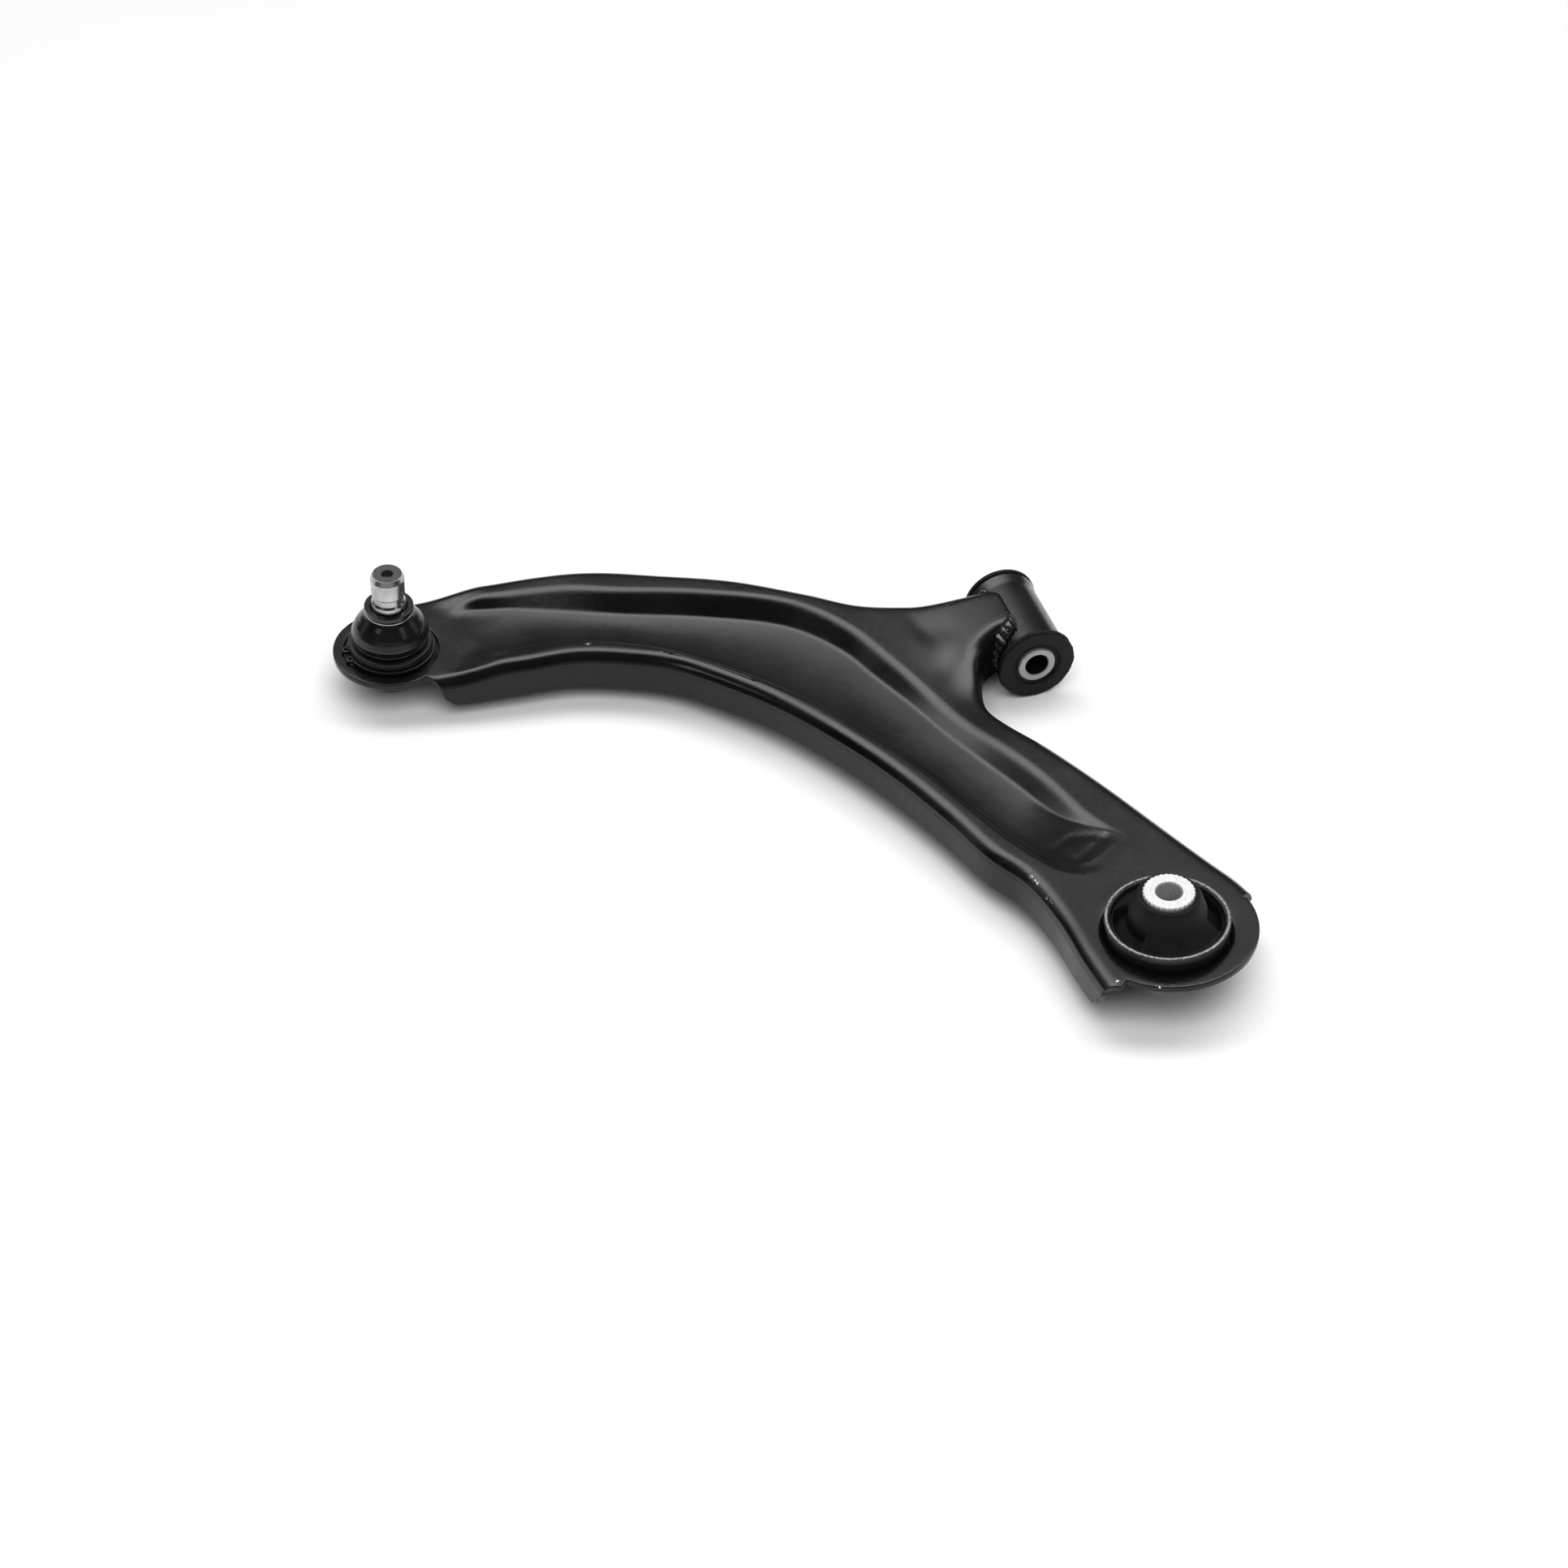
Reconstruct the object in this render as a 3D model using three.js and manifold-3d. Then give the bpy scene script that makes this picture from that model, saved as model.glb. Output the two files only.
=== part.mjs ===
// Stamped lower control arm of a small car's front axle. Millimetres, +Z up.
// The arm lies on its underside with the ball joint stud up: +X runs from the ball joint
// towards the car, +Y towards the front of the car. While the parts are made, the plan
// origin is the ball joint's axis; the finished group is moved to its own reference point.
import * as THREE from 'three';
import { mergeVertices } from 'three/addons/utils/BufferGeometryUtils.js';
import Module from 'manifold-3d';

const wasm = await Module();
wasm.setup();

// ---- Driving dimensions ----

const GAP = 0.3; // running gap between pieces that touch
const SHEET = 3.6; // thickness of the pressed steel

// The reference point, in ball joint coordinates: middle of the footprint, on the ground.
const REFERENCE = { x: 160.4, y: -175.13 };

// Ball joint, on the plan origin.
const BALL_PLATE_TOP = 24;
const BALL_PLATE_RADIUS = 30.5;
const BALL_PLATE_HOLE = 24.8;
const BALL_CENTRE_Z = 16.5;
const BALL_RADIUS = 11.5;
const STUD_RADIUS = 9;
const STUD_TOP = 74;
const NECK_RADIUS = 6.3;
const HOUSING_RADIUS = 22;
const HOUSING_TOP = 31;

// Rear bush: upright, its bolt runs along Z.
const REAR = { x: 299.4, y: -344 };
const REAR_PLATE = { x: 301, y: -341, radius: 45.5, top: 33 };
const COLLAR_INNER = 30.9;
const COLLAR_ENTRY = 3.6;
const COLLAR_BOTTOM = 22.5;
const REAR_RING_RADIUS = 30.6;
const REAR_RIM_RADIUS = 31.5;
const REAR_RING_BOTTOM = 19.5;
const REAR_RING_TOP = 41.5;
const REAR_RING_WALL = 2;
const REAR_SLEEVE_RADIUS = 13;
const REAR_SLEEVE_BORE = 6.5;
const REAR_SLEEVE_HEIGHT = 58.5;
const REAR_SLEEVE_TAPER = 3.5; // width and height of the cone at the sleeve's lower end

// Front bush: lying, its bolt runs along Y.
const FRONT = { x: 316, z: 21.3, nearRim: -117, farRim: -65.3 };
const EYE_RADIUS = 18.5;
const EYE_BORE = 16.6;
const FLANGE_RADIUS = 21.3;
const FLANGE_THICK = 3.2;
const FRONT_SLEEVE_RADIUS = 10.3;
const FRONT_SLEEVE_BORE = 6.3;
const FRONT_SLEEVE_STAND = 3.4; // how far the sleeve stands out of each flange
const FRONT_LINER = 1.8; // wall of the bush's outer sleeve

// Weld beads between shell and eye, each from one angle and place along Y to another. The
// angle is taken from the top of the eye towards the shell.
const WELDS = {
  near: { angle: [16, 105], y: [-109, -110.8], radius: 2.2 },
  far: { angle: [35, 110], y: [-71.2, -71.2], radius: 1.6 },
  under: { angle: [70, 70], y: [-101, -80], radius: 2 },
};

// Pressed shell: rounded shoulders, a rail along each edge and a channel between them.
// The edges are the outer faces of the skirts in plan. Seen from above, each line runs with
// the steel on its left: the near edge away from the ball joint, the far edge back to it
// around the branch that carries the eye, and the channel's floor line all the way round.
// A floor point also states the width of the sloping wall beside it.
const NEAR_EDGE = [
  [17, -37], [36, -39.5], [62, -42.5], [85, -45.5], [110, -55], [133.5, -68.7],
  [151.2, -86.7], [176.4, -119.2], [205, -173.4], [225, -226.5], [235.6, -261.8],
  [246.4, -284.8], [251.5, -315], [252.5, -345], [254.5, -371],
];
const FAR_EDGE = [
  [351.3, -329.5], [348, -318.4], [340, -299.4], [329.2, -272.7], [312, -229.4],
  [296.3, -194.4], [283.6, -169], [278, -148], [282, -128.5], [288, -115], [301, -107.5],
  [313, -106.5], [325, -99], [325, -83], [313, -74], [291.5, -69.5], [265.5, -62],
  [242, -52], [219, -33.5], [185.7, -10], [151.6, 7.1], [118.7, 21.8], [86.9, 29.2],
  [60.3, 32.5], [36, 35], [12, 35.5],
];
const CHANNEL_FLOOR = [
  [44, -16, 13], [90, -24, 12], [131, -42, 12], [168, -76, 12], [202, -120, 12],
  [228, -170, 12], [248, -223, 12], [260, -256, 12], [272, -271, 12], [290, -259, 12],
  [280, -238, 12], [261, -186, 12], [246, -149, 12], [232, -107, 12], [222, -76, 13],
  [200, -51.5, 15], [160, -29, 16], [117, -11, 16], [81, 1, 15], [44, 11, 14], [37, -2, 10],
];
const SHOULDER = 8; // radius of the shoulders
const DRAFT = 0.8; // how far the skirt's foot stands outside its top
const END_SKEW = 0.65; // slope of the trimmed skirt ends
const END_SKEW_REACH = 30; // length over which that slope fades out

// Heights, as [distance from the ball joint, height]: rail crests, channel floor, skirt foot.
const CREST = [[38, 24], [64, 28.8], [110, 30.4], [200, 31.4], [300, 33.3], [345, 33]];
const FLOOR = [[60, 24], [150, 22.5], [230, 22.7], [330, 24.3]];
const FOOT = [[30, 8.5], [100, 10], [250, 12], [330, 12], [400, 12], [450, 13]];
// The branch climbs to meet the eye: height gained, and where in X and Y it is gained.
const BRANCH_RISE = { height: 5.3, x: [262, 308], y: [-150, -115] };

// Wall of the channel, as [share of its width, share of its drop] from crest to floor.
const WALL_PROFILE = [[0, 0], [0.2, 0.1], [0.85, 0.95], [1, 1]];
const SHOULDER_STEPS = 3;
const EDGE_STEP = 14; // spacing of the sections along the edges
const CHANNEL_STEP = 16;
const ROUND = 40; // sides of a large round piece
const SMALL_ROUND = 24;

// ---- Solids ----

// Makes a clean closed geometry: positions only, no empty triangles, faces outwards.
function closed(geometry) {
  const bare = geometry.clone();
  for (const name of ['normal', 'uv', 'uv1', 'color']) {
    bare.deleteAttribute(name);
  }
  const merged = mergeVertices(bare, 1e-4);
  const corner = merged.index.array;
  const position = merged.attributes.position;
  const point = (i) => new THREE.Vector3().fromBufferAttribute(position, i);
  const kept = [];
  let volume = 0;
  for (let i = 0; i < corner.length; i += 3) {
    const [a, b, c] = [corner[i], corner[i + 1], corner[i + 2]];
    if (a === b || b === c || c === a) {
      continue;
    }
    kept.push(a, b, c);
    volume += point(a).dot(point(b).cross(point(c)));
  }
  if (volume < 0) {
    kept.reverse();
  }
  const result = new THREE.BufferGeometry();
  result.setAttribute('position', position);
  result.setIndex(kept);
  return result;
}

function toManifold(geometry) {
  const clean = closed(geometry);
  return new wasm.Manifold(new wasm.Mesh({
    numProp: 3,
    vertProperties: new Float32Array(clean.attributes.position.array),
    triVerts: new Uint32Array(clean.index.array),
  }));
}

function fromManifold(solid) {
  const mesh = solid.getMesh();
  const result = new THREE.BufferGeometry();
  result.setAttribute('position', new THREE.BufferAttribute(mesh.vertProperties, 3));
  result.setIndex(new THREE.BufferAttribute(mesh.triVerts, 1));
  return result;
}

function cut(geometry, ...tools) {
  const solid = tools.reduce((rest, tool) => rest.subtract(toManifold(tool)), toManifold(geometry));
  return fromManifold(solid);
}

function join(geometry, ...others) {
  const solid = others.reduce((sum, other) => sum.add(toManifold(other)), toManifold(geometry));
  return fromManifold(solid);
}

// A turned piece about Z from [radius, height] pairs; a ring's profile closes on itself.
function turned(profile, sides = ROUND) {
  const points = profile.map(([r, z]) => new THREE.Vector2(r, z));
  const onAxis = profile[0][0] === 0 && profile.at(-1)[0] === 0;
  if (!onAxis) {
    points.push(points[0].clone());
  }
  return closed(new THREE.LatheGeometry(points, sides).rotateX(Math.PI / 2));
}

// An upright cylinder between two heights.
function post(radius, bottom, top, sides = ROUND) {
  return turned([[0, bottom], [radius, bottom], [radius, top], [0, top]], sides);
}

// Points of an arc, as [radius, height] pairs, angles in degrees from +radius.
function arc(centre, radius, from, to, steps) {
  return Array.from({ length: steps + 1 }, (_, i) => {
    const angle = THREE.MathUtils.degToRad(from + ((to - from) * i) / steps);
    return [centre[0] + radius * Math.cos(angle), centre[1] + radius * Math.sin(angle)];
  });
}

// Lays a piece turned about Z along Y, on the front bush's axis.
function onFrontAxis(geometry) {
  return geometry.rotateX(-Math.PI / 2).translate(FRONT.x, 0, FRONT.z);
}

// ---- Pressed shell ----

// Evenly spaced points of a smooth line through plan points; z carries a width, if stated.
function smoothLine(points, step, loop = false) {
  const knots = points.map(([x, y, width = 0]) => new THREE.Vector3(x, y, width));
  const curve = new THREE.CatmullRomCurve3(knots, loop, 'centripetal');
  const line = curve.getSpacedPoints(Math.round(curve.getLength() / step));
  return loop ? line.slice(0, -1) : line;
}

// Unit vectors along a line and to its left, at one of its points.
function directions(line, i, loop) {
  const count = line.length;
  const ahead = loop ? line[(i + 1) % count] : line[Math.min(i + 1, count - 1)];
  const behind = loop ? line[(i - 1 + count) % count] : line[Math.max(i - 1, 0)];
  const along = ahead.clone().sub(behind).normalize();
  return { along, left: new THREE.Vector3(-along.y, along.x, 0) };
}

// Height from a table of [distance, height] pairs, eased from each pair to the next.
function heightAt(table, distance) {
  let height = table[0][1];
  for (let i = 1; i < table.length; i += 1) {
    const step = THREE.MathUtils.smoothstep(distance, table[i - 1][0], table[i][0]);
    height += step * (table[i][1] - table[i - 1][1]);
  }
  return height;
}

function crestHeight(point) {
  const { height, x, y } = BRANCH_RISE;
  const rise = THREE.MathUtils.smoothstep(point.x, ...x) * THREE.MathUtils.smoothstep(point.y, ...y);
  return heightAt(CREST, Math.hypot(point.x, point.y)) + height * rise;
}

// Skirt and shoulder along one edge: rows of points from the foot to the top of the shoulder.
function shoulderRows(edge) {
  return edge.map((point, i) => {
    const { along, left } = directions(edge, i, false);
    const crest = crestHeight(point.clone().addScaledVector(left, SHOULDER));
    const foot = heightAt(FOOT, Math.hypot(point.x, point.y));
    const fromStart = i * EDGE_STEP;
    const fromEnd = (edge.length - 1 - i) * EDGE_STEP;
    const fade = (distance) => Math.max(0, 1 - distance / END_SKEW_REACH);
    const skew = END_SKEW * (fade(fromStart) - fade(fromEnd)) * (crest - SHOULDER - foot);
    const row = [point.clone().addScaledVector(left, -DRAFT).addScaledVector(along, skew).setZ(foot)];
    for (let k = 0; k <= SHOULDER_STEPS; k += 1) {
      const turn = (Math.PI / 2) * (k / SHOULDER_STEPS);
      const inset = SHOULDER * (1 - Math.cos(turn));
      const height = crest - SHOULDER * (1 - Math.sin(turn));
      row.push(point.clone().addScaledVector(left, inset).setZ(height));
    }
    return row;
  });
}

// Wall of the channel: rows of points from its crest to its floor.
function channelRows(floorLine) {
  return floorLine.map((point, i) => {
    const { left } = directions(floorLine, i, true);
    const crest = point.clone().addScaledVector(left, -point.z);
    const top = crestHeight(crest);
    const floor = heightAt(FLOOR, Math.hypot(point.x, point.y));
    return WALL_PROFILE.map(([share, drop]) => (
      crest.clone().lerp(point, share).setZ(THREE.MathUtils.lerp(top, floor, drop))
    ));
  });
}

// Triangles between neighbouring rows; a loop's last row joins its first.
function bandTriangles(rows, loop) {
  const triangles = [];
  const last = loop ? rows.length : rows.length - 1;
  for (let r = 0; r < last; r += 1) {
    const [row, next] = [rows[r], rows[(r + 1) % rows.length]];
    for (let c = 0; c < row.length - 1; c += 1) {
      triangles.push(row[c], next[c], next[c + 1], row[c], next[c + 1], row[c + 1]);
    }
  }
  return triangles;
}

// Triangles of the area inside an outline, less the area inside its holes.
function areaTriangles(outline, holes = []) {
  const flat = (line) => line.map((point) => new THREE.Vector2(point.x, point.y));
  const faces = THREE.ShapeUtils.triangulateShape(flat(outline), holes.map(flat));
  const points = [...outline, ...holes.flat()];
  return faces.flatMap((face) => {
    const [a, b, c] = face.map((i) => points[i]);
    const area = (b.x - a.x) * (c.y - a.y) - (c.x - a.x) * (b.y - a.y);
    return area > 0 ? [a, b, c] : [a, c, b];
  });
}

// A sheet of even thickness under a surface, closed all round.
function thicken(triangles, thickness) {
  const surface = new THREE.BufferGeometry().setFromPoints(triangles);
  const merged = mergeVertices(surface, 1e-4);
  merged.computeVertexNormals();
  const { position, normal } = merged.attributes;
  const count = position.count;
  const vectors = (attribute) => Array.from({ length: count }, (_, i) => (
    new THREE.Vector3().fromBufferAttribute(attribute, i)
  ));
  const [points, outward] = [vectors(position), vectors(normal)];
  const under = points.map((point, i) => point.clone().addScaledVector(outward[i], -thickness));
  const corner = [...merged.index.array];
  const index = [...corner];
  const edges = new Set();
  for (let i = 0; i < corner.length; i += 3) {
    const [a, b, c] = [corner[i], corner[i + 1], corner[i + 2]];
    index.push(a + count, c + count, b + count);
    for (const [from, to] of [[a, b], [b, c], [c, a]]) {
      edges.add(`${from},${to}`);
    }
  }
  for (const edge of edges) {
    const [from, to] = edge.split(',').map(Number);
    if (!edges.has(`${to},${from}`)) {
      index.push(to, from, from + count, to, from + count, to + count);
    }
  }
  const geometry = new THREE.BufferGeometry().setFromPoints([...points, ...under]);
  geometry.setIndex(index);
  return geometry;
}

function pressing() {
  const near = shoulderRows(smoothLine(NEAR_EDGE, EDGE_STEP));
  const far = shoulderRows(smoothLine(FAR_EDGE, EDGE_STEP));
  const channel = channelRows(smoothLine(CHANNEL_FLOOR, CHANNEL_STEP, true));
  const plateau = [...near, ...far].map((row) => row.at(-1));
  const crest = channel.map((row) => row[0]);
  const floor = channel.map((row) => row.at(-1));
  return thicken([
    ...bandTriangles(near, false),
    ...bandTriangles(far, false),
    ...bandTriangles(channel, true),
    ...areaTriangles(plateau, [crest]),
    ...areaTriangles(floor),
  ], SHEET);
}

function armShell() {
  const ballPlate = post(BALL_PLATE_RADIUS, BALL_PLATE_TOP - SHEET, BALL_PLATE_TOP);
  const rearPlate = post(REAR_PLATE.radius, REAR_PLATE.top - SHEET, REAR_PLATE.top)
    .translate(REAR_PLATE.x, REAR_PLATE.y, 0);
  const mouth = COLLAR_INNER + COLLAR_ENTRY;
  const collar = turned([
    [mouth + 2, REAR_PLATE.top],
    ...arc([mouth, REAR_PLATE.top - COLLAR_ENTRY], COLLAR_ENTRY, 90, 180, 4),
    [COLLAR_INNER, COLLAR_BOTTOM],
    [COLLAR_INNER + SHEET, COLLAR_BOTTOM],
    [COLLAR_INNER + SHEET, REAR_PLATE.top - SHEET],
    [mouth + 2, REAR_PLATE.top - SHEET],
  ]).translate(REAR.x, REAR.y, 0);
  const rearHole = post(mouth + 0.6, -1, 60).translate(REAR.x, REAR.y, 0);
  const ballHole = post(BALL_PLATE_HOLE, 0, 60);
  const eyeRoom = onFrontAxis(post(EYE_RADIUS + GAP, FRONT.nearRim, FRONT.farRim));
  const flangeDepth = FLANGE_THICK + GAP;
  const flangeRoom = [FRONT.nearRim - GAP, FRONT.farRim - FLANGE_THICK].map((from) => (
    onFrontAxis(post(FLANGE_RADIUS + GAP, from, from + flangeDepth))
  ));
  const weldRoom = Object.values(WELDS).map((weld) => (
    onFrontAxis(eyeWeld(weld, GAP))
  ));
  const plates = join(pressing(), ballPlate, rearPlate);
  return join(cut(plates, ballHole, rearHole, eyeRoom, ...flangeRoom, ...weldRoom), collar);
}

// ---- Front bush, made about Z and turned along Y by its group ----

const EYE_NEAR_END = FRONT.nearRim + FLANGE_THICK + GAP;
const EYE_FAR_END = FRONT.farRim - FLANGE_THICK - GAP;

function sleeve(outer, bore, from, to, sides = ROUND) {
  return turned([[bore, from], [outer, from], [outer, to], [bore, to]], sides);
}

function frontRubber() {
  const bore = FRONT_SLEEVE_RADIUS + GAP;
  const core = EYE_BORE - 2 * GAP - FRONT_LINER;
  const { nearRim, farRim } = FRONT;
  return turned([
    [bore, nearRim],
    [FLANGE_RADIUS, nearRim],
    [FLANGE_RADIUS, nearRim + FLANGE_THICK],
    [core, nearRim + FLANGE_THICK],
    [core, farRim - FLANGE_THICK],
    [FLANGE_RADIUS, farRim - FLANGE_THICK],
    [FLANGE_RADIUS, farRim],
    [bore, farRim],
  ]);
}

// A weld bead on the eye, or with room added, the space that it needs in the shell.
function eyeWeld({ angle, y, radius }, room = 0) {
  const reach = EYE_RADIUS + GAP + radius;
  const points = [0, 0.125, 0.25, 0.375, 0.5, 0.625, 0.75, 0.875, 1].map((t) => {
    const turn = THREE.MathUtils.degToRad(THREE.MathUtils.lerp(...angle, t));
    const along = THREE.MathUtils.lerp(...y, t);
    return new THREE.Vector3(-reach * Math.sin(turn), -reach * Math.cos(turn), along);
  });
  for (const [end, next] of [[points[0], points[1]], [points.at(-1), points.at(-2)]]) {
    end.add(end.clone().sub(next).setLength(room));
  }
  const section = new THREE.Shape();
  section.absarc(0, 0, radius + room, 0, 2 * Math.PI);
  const extrudePath = new THREE.CatmullRomCurve3(points);
  return new THREE.ExtrudeGeometry(section, { steps: 12, curveSegments: 5, extrudePath });
}

// ---- Rear bush, upright about its own axis ----

function rearRubber() {
  const bore = REAR_SLEEVE_RADIUS + GAP;
  const skin = REAR_RING_RADIUS - REAR_RING_WALL - GAP;
  const bell = turned([
    [bore, 5.5],
    [15.6, 6.5],
    [17, 10.5],
    [20.5, 16.5],
    [25, 21.5],
    [skin, 24],
    [skin, 37],
    [25, 39.5],
    [20.5, 44.5],
    [17, 51],
    [15.6, 56],
    [bore, 57],
  ]);
  return cut(bell, kidney(0), kidney(180));
}

// One of the two voids that let the rubber give along X.
function kidney(middle) {
  const halfSpan = 30;
  const outline = [
    ...arc([0, 0], 26, middle - halfSpan, middle + halfSpan, 8),
    ...arc([0, 0], 20.5, middle + halfSpan, middle - halfSpan, 8),
  ].map(([x, y]) => new THREE.Vector2(x, y));
  const depth = REAR_SLEEVE_HEIGHT;
  return new THREE.ExtrudeGeometry(new THREE.Shape(outline), { depth, bevelEnabled: false });
}

// ---- Ball joint, about the plan origin ----

const BALL = [0, BALL_CENTRE_Z];
const SEAT_RADIUS = 14.2;
const SEAT_BORE = BALL_RADIUS + GAP;
const CAP_RADIUS = 8.3;
const CAP_THICK = 3.6;

function ballStud() {
  const neckAngle = THREE.MathUtils.radToDeg(Math.acos(NECK_RADIUS / BALL_RADIUS));
  const centreHole = turned([
    [0, STUD_TOP - 3.5],
    [3.2, STUD_TOP - 2.5],
    [3.2, STUD_TOP + 1],
    [0, STUD_TOP + 1],
  ], SMALL_ROUND);
  const body = turned([
    [0, BALL_CENTRE_Z - BALL_RADIUS],
    ...arc(BALL, BALL_RADIUS, -80, neckAngle, 10),
    [NECK_RADIUS, 46],
    [9.4, 53.6],
    [8.4, 56.5],
    [7.8, 59.5],
    [7.9, 61.2],
    [STUD_RADIUS, 61.8],
    [STUD_RADIUS, 71.2],
    [7.8, STUD_TOP],
    [0, STUD_TOP],
  ], SMALL_ROUND);
  return cut(body, centreHole);
}

// Cup of the ball joint: a flange under the plate, a cone below it and a grooved neck above.
function housing() {
  const plateUnder = BALL_PLATE_TOP - SHEET - GAP;
  return turned([
    [CAP_RADIUS + GAP, 1.4],
    [CAP_RADIUS + 1, 1.4],
    [17, 8.6],
    [21, 12.5],
    [21, 17],
    [26.5, 17],
    [26.5, plateUnder],
    [BALL_PLATE_HOLE - GAP, plateUnder],
    [BALL_PLATE_HOLE - GAP, 22.6],
    [HOUSING_RADIUS, 22.6],
    [HOUSING_RADIUS, 24.1],
    [20.3, 24.1],
    [20.3, 26.5],
    [HOUSING_RADIUS, 26.5],
    [HOUSING_RADIUS, HOUSING_TOP - 1.4],
    [HOUSING_RADIUS - 0.8, HOUSING_TOP - 0.6],
    [16.2, HOUSING_TOP - 0.6],
    [16.2, 33.5],
    [14, 33.5],
    [11.4, 27.2],
    [11.4, 26.9],
    [SEAT_RADIUS + GAP, 26.9],
    [SEAT_RADIUS + GAP, 9.4],
    [CAP_RADIUS + GAP, 3.9],
  ]);
}

function upperSeat() {
  return turned([
    [SEAT_RADIUS, BALL_CENTRE_Z + GAP],
    [SEAT_RADIUS, 26.6],
    [11.6, 26.6],
    ...arc(BALL, SEAT_BORE, 31.5, 1.5, 4),
  ], SMALL_ROUND);
}

function lowerSeat() {
  return turned([
    [SEAT_RADIUS, 9.7],
    [SEAT_RADIUS, BALL_CENTRE_Z - GAP],
    ...arc(BALL, SEAT_BORE, -1.5, -60, 5),
    [5.9, 4.2],
    [8.4, 4.2],
  ], SMALL_ROUND);
}

// Open snap ring in the housing's groove, with an eyed ear at each end.
function circlip() {
  const [bottom, top] = [24.4, 26.2];
  const earRadius = 2.5;
  const earReach = 23.4;
  const open = 10; // half of the ring's gap, in degrees, about the -X side
  const outline = [
    ...arc([0, 0], 23.4, 180 + open, 540 - open, 24),
    ...arc([0, 0], 20.7, 540 - open, 180 + open, 24),
  ].map(([x, y]) => new THREE.Vector2(x, y));
  const band = new THREE.ExtrudeGeometry(
    new THREE.Shape(outline),
    { depth: top - bottom, bevelEnabled: false },
  ).translate(0, 0, bottom);
  const places = [180 - open, 180 + open].map((angle) => arc([0, 0], earReach, angle, angle, 1)[0]);
  const ears = places.map(([x, y]) => post(earRadius, bottom, top, 12).translate(x, y, 0));
  const eyes = places.map(([x, y]) => post(1, bottom - 1, top + 1, 8).translate(x, y, 0));
  return cut(join(band, ...ears), ...eyes);
}

function dustBoot() {
  return turned([
    [16.5, 30.8],
    [18.2, 30.8],
    [18.2, 33.2],
    [20, 34.6],
    [20.2, 36.8],
    [18.4, 41.2],
    [15.2, 45.6],
    [12, 48.6],
    [12, 50.7],
    [12.9, 50.9],
    [12.9, 53.3],
    [9.9, 53.3],
    [7.7, 48],
    [12.6, 45.2],
    [16.3, 40.2],
    [18, 36.6],
    [17.2, 34.2],
    [16.5, 33.9],
  ], SMALL_ROUND);
}

// ---- Assembly ----

const MATERIALS = {
  black: { color: 0x141414, roughness: 0.38, metalness: 0.3 },
  weld: { color: 0x0c0c0c, roughness: 0.2, metalness: 0.3 },
  rubber: { color: 0x101010, roughness: 0.6, metalness: 0 },
  machined: { color: 0xc4c4c6, roughness: 0.25, metalness: 1 },
  zinc: { color: 0x9a9a98, roughness: 0.4, metalness: 1 },
  bareEdge: { color: 0x77777a, roughness: 0.45, metalness: 1 },
  plastic: { color: 0xe6e2d6, roughness: 0.45, metalness: 0 },
};

function piece(name, material, geometry) {
  const mesh = new THREE.Mesh(geometry, new THREE.MeshStandardMaterial(MATERIALS[material]));
  mesh.name = name;
  return mesh;
}

const ballJoint = new THREE.Group();
ballJoint.add(
  piece('ball_joint_housing', 'black', housing()),
  piece('ball_joint_cap', 'black', post(CAP_RADIUS, 0, CAP_THICK, SMALL_ROUND)),
  piece('ball_joint_circlip', 'black', circlip()),
  piece('ball_seat_upper', 'plastic', upperSeat()),
  piece('ball_seat_lower', 'plastic', lowerSeat()),
  piece('ball_stud', 'machined', ballStud()),
  piece('dust_boot', 'rubber', dustBoot()),
  piece('boot_lower_ring', 'black', sleeve(19.6, 18.5, 31.2, 32.8)),
  piece('boot_upper_ring', 'machined', sleeve(13.1, 12.3, 49, 50.4)),
);

const rearBush = new THREE.Group();
rearBush.position.set(REAR.x, REAR.y, 0);
rearBush.add(
  piece('rear_bush_outer_sleeve', 'bareEdge', turned([
    [REAR_RING_RADIUS - REAR_RING_WALL, REAR_RING_BOTTOM],
    [REAR_RING_RADIUS, REAR_RING_BOTTOM],
    [REAR_RING_RADIUS, REAR_RING_TOP - 2.8],
    [REAR_RIM_RADIUS, REAR_RING_TOP - 2.5],
    [REAR_RIM_RADIUS, REAR_RING_TOP],
    [REAR_RING_RADIUS - REAR_RING_WALL, REAR_RING_TOP],
  ])),
  piece('rear_bush_rubber', 'rubber', rearRubber()),
  piece('rear_bush_inner_sleeve', 'zinc', turned([
    [REAR_SLEEVE_BORE, 0],
    [REAR_SLEEVE_RADIUS - REAR_SLEEVE_TAPER, 0],
    [REAR_SLEEVE_RADIUS, REAR_SLEEVE_TAPER],
    [REAR_SLEEVE_RADIUS, REAR_SLEEVE_HEIGHT],
    [REAR_SLEEVE_BORE, REAR_SLEEVE_HEIGHT],
  ])),
);

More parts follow.
